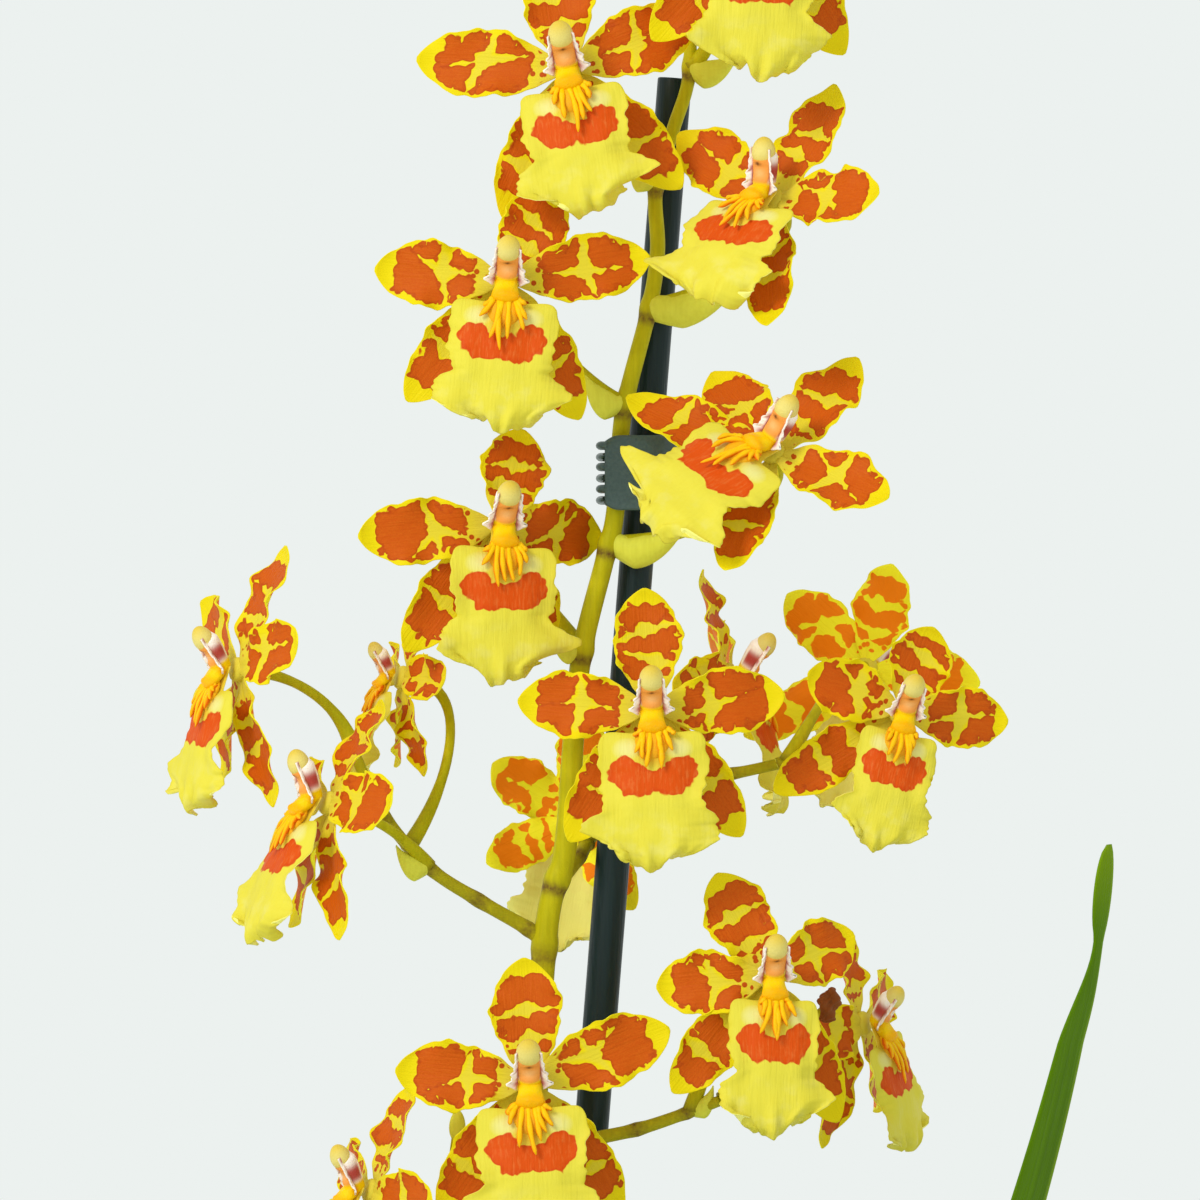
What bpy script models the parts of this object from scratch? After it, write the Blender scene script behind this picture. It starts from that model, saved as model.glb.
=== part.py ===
"""Oncidium orchid in its pot, for Blender 4.5. Metres, +Z up.

The plant stands in a plain round pot filled with bark. Its one flower spike is held to a round
stake by a sprung claw clip, and carries nineteen blooms. The origin is the centre of the pot's
flat base. The blooms face -Y, which is the front.
"""

import math
import random

import bmesh
import bpy
from mathutils import Euler, Matrix, Vector

MM = 0.001
GAP = 0.35 * MM
UP = Vector((0, 0, 1))

# Pot and bark
POT_HEIGHT = 120 * MM
POT_RIM_RADIUS = 65 * MM
POT_BASE_RADIUS = 47 * MM
POT_WALL = 3.5 * MM
POT_FLOOR = 5 * MM
RIM_HEIGHT = 12 * MM
RIM_LIP = 3 * MM
BARK_TOP = 104 * MM
BARK_CHIPS = 12
CHIP_LENGTH = 16 * MM
CHIP_SHAPE = (1, 0.62, 0.42, 1)
CHIP_SPACING = 8
CHIP_TILT = 0.4
CHIP_RISE = 0.6 * MM
RIM_CLEARANCE = 9

# Stake: a straight rod that leans to the right as it rises
STAKE_RADIUS = 4.1 * MM
STAKE_TOP = Vector((37.2, 7.6, 689.5)) * MM
STAKE_LEAN = math.radians(4.54)
STAKE_FOOT_Z = 22 * MM

# Spike: the main stem's route, its thickness from foot to tip, and its blades
STEM_ROUTE = [
    (-6, -2, 60), (-4, 0, 200), (-2, 0, 310), (2, 0, 410), (6, 0, 482),
    (10.8, 0, 504), (13, 0, 533), (15, 0, 552), (20.2, 0, 573), (22.4, 0, 582), (23.6, 0, 593),
    (25, 0, 610), (31, 0, 634), (33, 0, 648), (32.6, 0, 663), (36.8, 0, 677), (40.6, 0, 690),
    (40.6, 0, 708), (40, 0, 732), (41, -2, 756),
]
STEM_RADII = [(60, 3.7), (482, 3.2), (564, 2.5), (700, 1.5), (756, 0.8)]
BRANCH_RADIUS = 1.6 * MM
PEDICEL_RADIUS = 1.05 * MM
PEDICEL_SHAPE = (2.0, 1.2, 1.1, 1.4, 1.6)
BLADE_THICKNESS = 0.8 * MM

# Side branches, each from inside the main stem to its last bloom's pedicel
BRANCHES = {
    "left": [(6, 0, 481), (2, 0, 485), (-10, -1, 492), (-22, -2, 500), (-33, -3, 513), (-40, -4, 528)],
    "right": [(10, 0, 497), (14, 9, 502), (19, 15, 509), (33, 16, 520), (50, 12, 522), (64, 6, 525)],
    "low_right": [(3, 0, 431), (14, -1, 434), (28, -2, 437), (40, -3, 441), (48, -4, 444)],
    "low_left": [(0, 0, 392), (-8, -2, 404), (-18, -4, 416), (-28, -6, 423)],
}

# Blooms: centre (mm), turn to the right, tilt up and lean to the right (degrees), size, where the
# pedicel leaves the stem and which way it sets off (mm)
BLOOMS = [
    ("bloom_01", (11.6, -22, 690.5), (-4, 4, -9), 1.04, (32.6, 0, 664), (-8, -2, 8)),
    ("bloom_02", (57.5, -29, 726), (8, 4, 4), 1.02, (40.6, 0, 692), (8, -2, 4)),
    ("bloom_03", (59.5, -26, 660), (-36, 32, 10), 1.00, (31, 0, 634), (12, -2, 3)),
    ("bloom_04", (-3, -28, 640), (0, 2, 4), 1.00, (25, 0, 611), (-10, -2, 4)),
    ("bloom_05", (60, -30, 600), (-16, 38, 44), 1.00, (22, 0, 577.5), (18, -3, 1)),
    ("bloom_06", (-4.5, -9, 582), (12, 2, 2), 1.00, (15, 0, 552), (-6, 9, 8)),
    ("bloom_07", (31.5, -27, 538), (0, 2, -1), 1.00, (13.4, 0, 536), (8, -6, 4)),
    ("bloom_08", (91.5, -12, 537), (10, 0, 10), 0.93, (62, 7, 524), (10, 0, 3)),
    ("bloom_09", (52, 23, 546), (78, 6, -12), 0.92, (40, 14.5, 521), (-4, 6, 8)),
    ("bloom_10", (13, 36, 511), (168, -6, -10), 0.84, (16, 12, 505), (0, 4, 3)),
    ("bloom_11", (-69, -8, 547.5), (-66, 6, 4), 0.92, (-40, -4, 528), (-3, 0, 12)),
    ("bloom_12", (-30, 17, 545.5), (-72, 12, 4), 0.70, (-27, -2.6, 504.5), (10, 12, 14)),
    ("bloom_13", (-47, -22, 516), (-68, 18, 4), 0.97, (-22, -2, 500), (-6, -4, 8)),
    ("bloom_14", (2.5, -27, 449), (0, 2, -2), 1.03, (5, 0, 462), (-2, -8, 0)),
    ("bloom_15", (60, -22, 474), (10, 4, -3), 0.98, (41, -3, 441.5), (4, 0, 14)),
    ("bloom_16", (84, 14, 462), (66, 4, -14), 0.86, (48, -4, 444), (10, 2, 4)),
    ("bloom_17", (-37, -12, 423), (-66, 12, 10), 0.92, (-27, -6, 422), (-3, 2, 3)),
    ("bloom_18", (84.5, 43, 547), (160, -8, -16), 0.90, (64, 6, 525), (6, 2, 10)),
    ("bloom_19", (0, -6, 754), (-10, 0, -6), 0.92, (40, 0, 735), (-12, -2, 8)),
]

# Bracts, the sheaths at the feet of stalks: reach of the tip from the foot, and depth (mm)
BRACTS = {
    "bloom_01": ((-6, -3, 6), 5.5),
    "bloom_02": ((12, -3, 1), 6.0),
    "bloom_03": ((24, -5, 8), 7.5),
    "bloom_04": ((-10, -4, 5), 6.0),
    "bloom_05": ((18, -4, 2.5), 7.0),
    "bloom_06": ((-8, -3, 3), 5.0),
    "bloom_08": ((8, -1, 4), 5.0),
    "bloom_13": ((-8, -4, 3), 5.0),
    "bloom_15": ((6, -1, 4), 4.0),
}
BRACT_RINGS = 4
BRACT_ABOVE = 1.3
BRACT_WIDTH = 0.38
BRACT_FULLNESS = 0.685
BRACT_BLUNTNESS = 0.55

# Buds: where the stalk leaves the stem, the bud's centre, and its radius (mm)
BUDS = [
    ((41, -2, 754), (42, -4, 762), 3.2),
    ((40.4, 0, 744), (48, -5, 753), 3.4),
    ((-18, -4, 416), (-15, -4, 437), 2.4),
    ((48, -4, 444), (74, -6, 467), 2.2),
]

# A bloom's sepals and petals: direction clockwise from straight up (degrees), reach and width (mm),
# how far the tip stands back from the base, and the depth of the base (mm)
TEPALS = {
    "dorsal": (0, 29, 16.5, 3, 2.6),
    "petal_right": (83, 34, 16, 5, 1.3),
    "sepal_right": (145, 37, 14, 7, 2.6),
    "sepal_left": (215, 37, 14, 7, 3.5),
    "petal_left": (277, 34, 16, 5, 1.3),
}

TEPAL_FOOT = 2
TEPAL_WAVE = 1.1
TEPAL_CUP = 1.6
TEPAL_LOOSENESS = 3
SEPAL_STEPS = 3
PETAL_STEPS = 4
RECEPTACLE = 4.2

# Where one of them differs from the rule: extra turn (degrees), reach factor, extra sweep back (mm)
TEPAL_CHANGES = {
    ("bloom_01", "petal_left"): (6, 1.04, 0),
    ("bloom_01", "petal_right"): (-9, 0.94, 0),
    ("bloom_03", "dorsal"): (6, 1.10, -6),
    ("bloom_03", "petal_left"): (10, 0.94, -11),
    ("bloom_03", "petal_right"): (0, 0.96, -6),
    ("bloom_03", "sepal_right"): (10, 1, -6),
    ("bloom_03", "sepal_left"): (10, 0.66, 2),
    ("bloom_04", "dorsal"): (22, 0.86, 0),
    ("bloom_04", "petal_right"): (-5, 1.02, 0),
    ("bloom_04", "petal_left"): (-4, 0.93, 0),
    ("bloom_05", "dorsal"): (-12, 1.08, -6),
    ("bloom_05", "petal_right"): (-12, 1.04, -6),
    ("bloom_05", "sepal_right"): (-2, 0.96, -6),
    ("bloom_05", "sepal_left"): (34, 1.08, -12),
    ("bloom_06", "dorsal"): (16, 0.84, 4),
    ("bloom_06", "petal_right"): (10, 0.80, 6),
    ("bloom_06", "petal_left"): (-15, 1, 0),
    ("bloom_06", "sepal_right"): (10, 0.84, -3),
    ("bloom_07", "petal_right"): (0, 0.94, 0),
    ("bloom_07", "petal_left"): (0, 0.94, 0),
    ("bloom_08", "dorsal"): (13, 0.82, 0),
    ("bloom_08", "petal_right"): (3, 0.85, 0),
    ("bloom_08", "petal_left"): (7, 0.77, -2),
    ("bloom_08", "sepal_left"): (10, 1.02, 0),
    ("bloom_08", "sepal_right"): (18, 0.76, 2),
    ("bloom_09", "petal_left"): (0, 0.80, 6),
    ("bloom_09", "petal_right"): (0, 0.90, 6),
    ("bloom_09", "sepal_left"): (-8, 0.56, 4),
    ("bloom_09", "sepal_right"): (8, 0.56, 4),
    ("bloom_10", "petal_right"): (-16, 0.82, 0),
    ("bloom_10", "sepal_right"): (-14, 0.74, 0),
    ("bloom_10", "sepal_left"): (10, 0.92, 0),
    ("bloom_11", "dorsal"): (6, 1.16, 5),
    ("bloom_11", "petal_left"): (22, 0.96, -4),
    ("bloom_11", "petal_right"): (-14, 0.92, 0),
    ("bloom_11", "sepal_right"): (8, 1.04, 0),
    ("bloom_13", "dorsal"): (0, 0.98, 2),
    ("bloom_14", "petal_right"): (-10, 1.02, 0),
    ("bloom_14", "petal_left"): (0, 0.92, 0),
    ("bloom_15", "dorsal"): (-20, 0.98, 0),
    ("bloom_15", "petal_right"): (-17, 0.74, 5),
    ("bloom_15", "petal_left"): (-7, 0.80, 2),
    ("bloom_15", "sepal_left"): (8, 0.97, 0),
    ("bloom_15", "sepal_right"): (14, 1.06, 0),
    ("bloom_16", "petal_left"): (0, 0.80, 4),
    ("bloom_18", "petal_right"): (-18, 0.88, 0),
    ("bloom_18", "sepal_right"): (-8, 1, 0),
}

# Lip outline: height below the centre, half width, stand forward of the centre (mm)
LIP_STATIONS = [
    (1, 2.6, 1.4), (-7, 4.4, 4.2), (-9.5, 13.2, 5.4), (-19.5, 12.8, 7.4), (-28, 17.2, 8.0), (-34, 13.4, 7.4),
    (-37.5, 4.5, 6.6),
]
LIP_RUFFLE = [0, 0, -0.6, 0.8, 2.0, -1.8, 0.6]

# Where a lip differs from the rule: turn (degrees), width factor and length factor
LIP_CHANGES = {
    "bloom_01": (0, 0.95, 0.90),
    "bloom_03": (-2, 1.08, 0.88),
    "bloom_04": (0, 1.00, 0.95),
    "bloom_05": (0, 1.12, 0.98),
    "bloom_08": (3, 0.80, 0.94),
    "bloom_15": (5, 0.86, 1.02),
}

# Column: its foot and top (mm), and its rings' place along it, radius and wing reach
COLUMN_FOOT = Vector((0, -1.9, -0.9))
COLUMN_TOP = Vector((0, -10.2, 9.6))
COLUMN_PROFILE = [
    (0, 0, 0), (0.04, 1.9, 0), (0.36, 1.8, 0), (0.52, 2.0, 4.5), (0.70, 2.8, 0), (0.88, 2.3, 0), (1, 0, 0),
]
WING_SIDE = 0.9

# Pseudobulbs: centre of the foot (mm) and turn of the broad side (degrees)
BULBS = [((38, 0), 90), ((-38, 10), 84), ((6, -37), 0), ((4, 38), 8)]
BULB_HEIGHT = 76 * MM
BULB_HALF_WIDTH = 17 * MM
BULB_HALF_DEPTH = 11 * MM
BULB_FOOT = 97 * MM

# Where no bark chip goes: the spot and how far it is kept clear (mm)
CHIP_FREE = [*((centre, 22) for centre, turn in BULBS), ((-6, -2), 9), ((-9, 7.6), 9)]
STEM_HOLE = 6 * MM
STAKE_HOLE = STAKE_RADIUS + 0.5 * MM
HOLE_LENGTH = 150 * MM

# Leaves: the bulb each stands on, offset on its top (mm), and where its middle and tip come (mm)
LEAVES = [
    ("leaf_1", 0, (3, -7), (96, -18, 330), (140, -36, 506), 30),
    ("leaf_2", 0, (-1, 7), (82, 66, 316), (146, 158, 300), 30),
    ("leaf_3", 1, (-4, -6), (-106, -24, 316), (-206, -54, 270), 32),
    ("leaf_4", 1, (1, 6), (-76, 66, 330), (-124, 136, 330), 30),
    ("leaf_5", 2, (4, -4), (44, -104, 300), (84, -196, 240), 32),
    ("leaf_6", 2, (-5, 0), (-42, -84, 320), (-92, -150, 310), 28),
    ("leaf_7", 3, (7, 1), (48, 112, 320), (96, 204, 280), 32),
    ("leaf_8", 3, (-7, -1), (-46, 94, 310), (-116, 176, 250), 29),
]
LEAF_THICKNESS = 1.2 * MM
LEAF_FOLD = 0.42
LEAF_STATIONS = 7

# Claw clip: its hinge, the heights of its two ends, and the levels of its teeth (mm)
HINGE = Vector((36.8, 4.4, 594.5)) * MM
CLIP_BOTTOM = 585.5 * MM
CLIP_TOP = 603.5 * MM
CLIP_WALL = 1.5 * MM
FRONT_JAW_ROUTE = [(20.4, -4.6), (27, -5.3), (33, -4.6), (36.6, -1.6), (37.0, 2.0)]
BACK_JAW_ROUTE = [(20.4, 13.6), (27, 14.2), (33, 13.6), (36.6, 10.6), (37.0, 7.0)]
FRONT_LEVER_ROUTE = [(37.0, 2.2), (40.5, -1.0), (43.5, -2.6)]
BACK_LEVER_ROUTE = [(37.0, 6.6), (40.5, 9.8), (43.5, 11.4)]
FRONT_TOOTH_LEVELS = (590.6, 595.9, 601.0)
BACK_TOOTH_LEVELS = (588.0, 593.3, 598.4)
TOOTH_RADII = (1.2 * MM, 1.15 * MM, 0.6 * MM)
EAR_HEIGHT = 3.4 * MM
SPRING_ROOM = 2.2 * MM
PIN_RADIUS = 0.8 * MM
PIN_END = 1 * MM
BARREL_RADIUS = 2.0 * MM
SPRING_RADIUS = 1.5 * MM
SPRING_WIRE = 0.28 * MM
SPRING_HEIGHT = 2.9 * MM
SPRING_TURNS = 2
SPRING_STEPS = 8


def clear_scene():
    for thing in list(bpy.data.objects):
        bpy.data.objects.remove(thing)


def new_collection(name):
    group = bpy.data.collections.new(name)
    bpy.context.scene.collection.children.link(group)
    return group


def material(name, colour, roughness, metallic=0.0):
    """A plain Principled material."""
    look = bpy.data.materials.new(name)
    look.use_nodes = True
    shader = look.node_tree.nodes["Principled BSDF"]
    shader.inputs["Base Color"].default_value = (*colour, 1)
    shader.inputs["Roughness"].default_value = roughness
    shader.inputs["Metallic"].default_value = metallic
    return look


def add_object(name, mesh, look):
    """Link a mesh to the plant as a named object of one material."""
    mesh.materials.clear()
    mesh.materials.append(look)
    thing = bpy.data.objects.new(name, mesh)
    plant.objects.link(thing)
    return thing


def evaluated_mesh(thing):
    """The mesh of an object with its modifiers, or of a curve, welded."""
    bpy.context.view_layer.update()
    graph = bpy.context.evaluated_depsgraph_get()
    mesh = bpy.data.meshes.new_from_object(thing.evaluated_get(graph))
    net = bmesh.new()
    net.from_mesh(mesh)
    bmesh.ops.remove_doubles(net, verts=net.verts, dist=1e-6)
    net.to_mesh(mesh)
    net.free()
    return mesh


def bake(thing, look):
    """Replace an object by its evaluated mesh, in its own place."""
    mesh = evaluated_mesh(thing)
    name = thing.name
    bpy.data.objects.remove(thing)
    return add_object(name, mesh, look)


def join(name, pieces, look, operation="UNION", solver="EXACT"):
    """One Boolean on a collection joins the other pieces to the first, or cuts them from it."""
    group = new_collection(name + "_pieces")
    first, *others = pieces
    for piece in others:
        plant.objects.unlink(piece)
        group.objects.link(piece)
    step = first.modifiers.new(operation.lower(), "BOOLEAN")
    step.operation = operation
    step.operand_type = "COLLECTION"
    step.collection = group
    step.solver = solver
    mesh = evaluated_mesh(first)
    for piece in pieces:
        bpy.data.objects.remove(piece)
    bpy.data.collections.remove(group)
    return add_object(name, mesh, look)


def blade(place, along, across, thickness, look):
    """A thin waved sheet: place(u, v) gives the point u along it and v across, from -1 to 1."""
    mesh = bpy.data.meshes.new("blade")
    net = bmesh.new()
    bmesh.ops.create_grid(net, x_segments=along, y_segments=across, size=1)
    for vert in net.verts:
        vert.co = place((vert.co.x + 1) / 2, vert.co.y)
    bmesh.ops.triangulate(net, faces=net.faces)
    net.to_mesh(mesh)
    net.free()
    sheet = add_object("blade", mesh, look)
    wall = sheet.modifiers.new("thickness", "SOLIDIFY")
    wall.thickness = thickness
    wall.offset = 0
    return bake(sheet, look)


def tube(points, radii, look, resolution=1):
    """A round bar along points, with a radius at each, made as a bevelled curve."""
    curve = bpy.data.curves.new("tube", "CURVE")
    curve.dimensions = "3D"
    curve.bevel_depth = 1
    curve.bevel_resolution = resolution
    curve.use_fill_caps = True
    line = curve.splines.new("POLY")
    line.points.add(len(points) - 1)
    for point, place, radius in zip(line.points, points, radii):
        point.co = (*place, 1)
        point.radius = radius
    bar = bpy.data.objects.new("tube", curve)
    plant.objects.link(bar)
    return bake(bar, look)


def solid_from(net, look):
    """Link a bmesh as an object and free it."""
    mesh = bpy.data.meshes.new("solid")
    net.to_mesh(mesh)
    net.free()
    return add_object("solid", mesh, look)


def cone(foot, tip, foot_radius, tip_radius, sides, look):
    """A straight cone or bar from foot to tip."""
    net = bmesh.new()
    reach = tip - foot
    bmesh.ops.create_cone(net, cap_ends=True, segments=sides, radius1=foot_radius, radius2=tip_radius,
                          depth=reach.length)
    turn = UP.rotation_difference(reach).to_matrix().to_4x4()
    bmesh.ops.transform(net, matrix=Matrix.Translation((foot + tip) / 2) @ turn, verts=net.verts)
    return solid_from(net, look)


def ball(centre, radii, around, rings, look):
    """A UV sphere drawn out to three half sizes."""
    net = bmesh.new()
    bmesh.ops.create_uvsphere(net, u_segments=around, v_segments=rings, radius=1)
    for vert in net.verts:
        vert.co = Vector(centre) + Vector([a * b for a, b in zip(vert.co, radii)])
    return solid_from(net, look)


def smooth_route(route, steps):
    """Points on the Catmull-Rom curve through a route in millimetres."""
    knots = [Vector(point) * MM for point in route]
    knots = [2 * knots[0] - knots[1], *knots, 2 * knots[-1] - knots[-2]]
    points = [knots[1]]
    for a, b, c, d in zip(knots, knots[1:], knots[2:], knots[3:]):
        for step in range(1, steps + 1):
            t = step / steps
            points.append(0.5 * (2 * b + (c - a) * t + (2 * a - 5 * b + 4 * c - d) * t * t
                                 + (3 * b - 3 * c + d - a) * t ** 3))
    return points


def bezier(a, b, c, d, steps):
    """Points on the cubic curve from a to d."""
    times = [step / steps for step in range(steps + 1)]
    return [a * (1 - t) ** 3 + b * 3 * t * (1 - t) ** 2 + c * 3 * t * t * (1 - t) + d * t ** 3
            for t in times]


def between(table, x):
    """The value at x on the straight lines between the table's pairs."""
    for (x0, y0), (x1, y1) in zip(table, table[1:]):
        if x <= x1:
            return y0 + (y1 - y0) * (x - x0) / (x1 - x0)
    return table[-1][1]


def stem_radius(z):
    return between(STEM_RADII, z / MM) * MM


def tepal_half_width(u, width):
    """Narrow at the foot, widest past the middle, and pointed."""
    return width / 2 * max(0.07, math.sin(math.pi * (0.05 + 0.95 * u) ** 1.2) ** 0.75)


def tepal(direction, reach, width, back, foot_depth, phase, steps):
    """A sepal or petal: cupped, with waved edges, its tip bent back."""
    angle = math.radians(direction)
    out = Vector((math.sin(angle), 0, math.cos(angle)))
    side = Vector((math.cos(angle), 0, -math.sin(angle)))

    def place(u, v):
        half = tepal_half_width(u, width)
        fade = v * v * math.sin(math.pi * u)
        wave = TEPAL_WAVE * fade * math.sin(5 * math.pi * u + phase + 0.9 * v)
        depth = foot_depth + back * u ** 1.5 + wave - TEPAL_CUP * fade
        along = TEPAL_FOOT + (reach - TEPAL_FOOT) * u
        return (out * along + side * half * v + Vector((0, depth, 0))) * MM

    return blade(place, steps, 2, BLADE_THICKNESS, tepal_look)


def make_tepals(name, size, draw):
    """The three sepals and two petals, joined at the receptacle behind them."""
    front = Vector((0, 0.4, 0)) * MM
    back_end = Vector((0, RECEPTACLE, 0)) * MM
    pieces = [cone(front, back_end, 3.0 * MM, 2.4 * MM, 5, tepal_look)]
    for part, (direction, reach, width, back, foot_depth) in TEPALS.items():
        turn, stretch, sweep = TEPAL_CHANGES.get((name, part), (0, 1, 0))
        turn += draw.uniform(-TEPAL_LOOSENESS, TEPAL_LOOSENESS)
        phase = draw.uniform(0, 2 * math.pi)
        steps = SEPAL_STEPS if part.startswith("sepal") else PETAL_STEPS
        pieces.append(tepal(direction + turn, reach * stretch * size, width * size, back + sweep,
                            foot_depth, phase, steps))
    return join(name + "_tepals", pieces, tepal_look)


def lip_point(u, v, size, phase):
    """The lip's surface: a narrow foot, broad shoulders, a waist and a ruffled skirt."""
    steps = len(LIP_STATIONS) - 1
    low = min(steps - 1, int(u * steps))
    mix = u * steps - low
    z, half, forward = [a + (b - a) * mix for a, b in zip(LIP_STATIONS[low], LIP_STATIONS[low + 1])]
    ruffle = LIP_RUFFLE[low] + (LIP_RUFFLE[low + 1] - LIP_RUFFLE[low]) * mix
    skirt = max(0, u - 0.6) / 0.4
    shoulder = math.exp(-((u - 2 / steps) * 9) ** 2)
    rise = 2.2 * shoulder * v * v + 3.0 * skirt * v * v
    fold = 1.2 * skirt * (1 - abs(v))
    sag = 1.6 * v * v * (1 - skirt) * min(1, 3 * u) - ruffle * abs(v) * math.cos(2.2 * v + phase)
    callus = 2.4 * math.exp(-((u - 0.26) * 7) ** 2 - (v * 1.6) ** 2)
    return Vector((half * v, -forward - fold - callus + sag, z + rise)) * (MM * size)


def make_column(size):
    """The column: one round body from its foot in the lip to the cap, with a wing on either side."""
    net = bmesh.new()
    rings = len(COLUMN_PROFILE) - 1
    bmesh.ops.create_uvsphere(net, u_segments=6, v_segments=rings, radius=1)
    reach = COLUMN_TOP - COLUMN_FOOT
    across = reach.normalized().cross(Vector((1, 0, 0)))
    for vert in net.verts:
        ring = round((1 - math.acos(max(-1, min(1, vert.co.z))) / math.pi) * rings)
        along, radius, wing = COLUMN_PROFILE[ring]
        angle = math.atan2(vert.co.y, vert.co.x) + math.pi / 6
        reach_out = max(radius, wing) if abs(math.cos(angle)) > WING_SIDE else radius
        side = Vector((math.cos(angle) * reach_out, 0, 0))
        vert.co = (COLUMN_FOOT + reach * along + side + across * radius * math.sin(angle)) * (MM * size)
    bmesh.ops.recalc_face_normals(net, faces=net.faces)
    return solid_from(net, lip_look)


def make_lip(name, size, draw):
    """The lip with its raised callus, and the column that stands on its foot."""
    phase = draw.uniform(-0.5, 0.5)
    turn, wide, long = LIP_CHANGES.get(name, (0, 1, 1))
    shape = Matrix.Rotation(math.radians(turn), 3, "Y") @ Matrix.Diagonal((wide, 1, long))
    sheet = blade(lambda u, v: shape @ lip_point(u, v, size, phase), len(LIP_STATIONS) - 1, 4,
                  BLADE_THICKNESS, lip_look)
    return join(name + "_lip", [sheet, make_column(size)], lip_look)


def bloom_turn(angles):
    """Lean about the bloom's own axis first, then tilt, then turn."""
    turn, tilt, lean = [math.radians(angle) for angle in angles]
    return Euler((-tilt, lean, turn), "YXZ")


def make_bloom(name, centre, angles, size, draw):
    """A bloom's two nodes, built facing -Y at the origin and carried by an empty."""
    holder = bpy.data.objects.new(name, None)
    plant.objects.link(holder)
    holder.rotation_mode = "YXZ"
    for piece in (make_tepals(name, size, draw), make_lip(name, size, draw)):
        piece.parent = holder
    holder.location = Vector(centre) * MM
    holder.rotation_euler = bloom_turn(angles)


def make_pedicel(centre, angles, foot, lead):
    """The stalk of a bloom, from inside the stem, where a bract sheathes it, to behind the receptacle."""
    back = bloom_turn(angles).to_matrix() @ Vector((0, 1, 0))
    start = Vector(foot) * MM
    end = Vector(centre) * MM + back * (RECEPTACLE * MM + GAP)
    joint = end + back * 2 * MM
    bend = joint + back * (end - start).length * 0.3
    points = [*bezier(start, start + Vector(lead) * MM, bend, joint, 3), end]
    radii = [radius * PEDICEL_RADIUS for radius in PEDICEL_SHAPE]
    return tube(points, radii, stem_look)


def bract_depth(u):
    """Half the depth of a bract as a share of its most: blunt at the foot, pointed at the tip."""
    return BRACT_FULLNESS * BRACT_BLUNTNESS * (1 + 2 * u) * (1 - u) ** 0.6


def make_bract(foot, reach, depth):
    """A boat-shaped sheath: its upper edge follows the stalk and its keel hangs below it."""
    net = bmesh.new()
    bmesh.ops.create_uvsphere(net, u_segments=6, v_segments=BRACT_RINGS, radius=1)
    along = Vector(reach).normalized()
    across = along.cross(UP).normalized()
    below = along.cross(across).normalized()
    if below.z > 0:
        below = -below
    for vert in net.verts:
        ring = round((1 - math.acos(max(-1, min(1, vert.co.z))) / math.pi) * BRACT_RINGS)
        half = depth * bract_depth(ring / BRACT_RINGS)
        angle = math.atan2(vert.co.y, vert.co.x)
        spot = Vector(foot) + Vector(reach) * (ring / BRACT_RINGS)
        if 0 < ring < BRACT_RINGS:
            spot += below * (half - BRACT_ABOVE + half * math.cos(angle))
            spot += across * (2 * BRACT_WIDTH * half * math.sin(angle))
        vert.co = spot * MM
    bmesh.ops.recalc_face_normals(net, faces=net.faces)
    return solid_from(net, stem_look)


def make_stem():
    """The spike: main stem, side branches, pedicels, bracts and the buds, as one grown body."""
    points = smooth_route(STEM_ROUTE, 2)
    pieces = [tube(points, [stem_radius(point.z) for point in points], stem_look)]
    for route in BRANCHES.values():
        points = [Vector(point) * MM for point in route]
        radii = [BRANCH_RADIUS * (1.15 - 0.35 * index / len(points)) for index in range(len(points))]
        pieces.append(tube(points, radii, stem_look))
    for name, centre, angles, size, foot, lead in BLOOMS:
        pieces.append(make_pedicel(centre, angles, foot, lead))
        if name in BRACTS:
            pieces.append(make_bract(foot, *BRACTS[name]))
    for foot, tip, radius in BUDS:
        stalk = [Vector(foot) * MM, (Vector(foot) + Vector(tip)) / 2 * MM, Vector(tip) * MM]
        pieces.append(tube(stalk, [PEDICEL_RADIUS] * 3, stem_look, 0))
        pieces.append(ball(stalk[-1], (radius * MM, radius * MM, 2 * radius * MM), 6, 3, stem_look))
    return join("flower_stem", pieces, stem_look)


def make_stake():
    foot = STAKE_TOP - Vector((math.tan(STAKE_LEAN), 0, 1)) * (STAKE_TOP.z - STAKE_FOOT_Z)
    rod = cone(foot, STAKE_TOP, STAKE_RADIUS, STAKE_RADIUS, 16, stake_look)
    rod.name = "stake"


def bulb_net(centre, turn, grow):
    """A flattened pear, grown on all sides by a margin."""
    net = bmesh.new()
    bmesh.ops.create_uvsphere(net, u_segments=9, v_segments=6, radius=1)
    spin = Matrix.Rotation(math.radians(turn), 3, "Z")
    for vert in net.verts:
        rise = (vert.co.z + 1) / 2
        slim = 1 - 0.45 * rise ** 2
        half_width = BULB_HALF_WIDTH * slim + grow
        half_depth = BULB_HALF_DEPTH * slim + grow
        local = Vector((vert.co.x * half_width, vert.co.y * half_depth, 0))
        height = BULB_FOOT + BULB_HEIGHT * rise + vert.co.z * grow
        vert.co = spin @ local + Vector((*[x * MM for x in centre], height))
    return net


def make_bulbs():
    for number, (centre, turn) in enumerate(BULBS, 1):
        bulb = solid_from(bulb_net(centre, turn, 0), bulb_look)
        bulb.name = f"pseudobulb_{number}"


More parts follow.
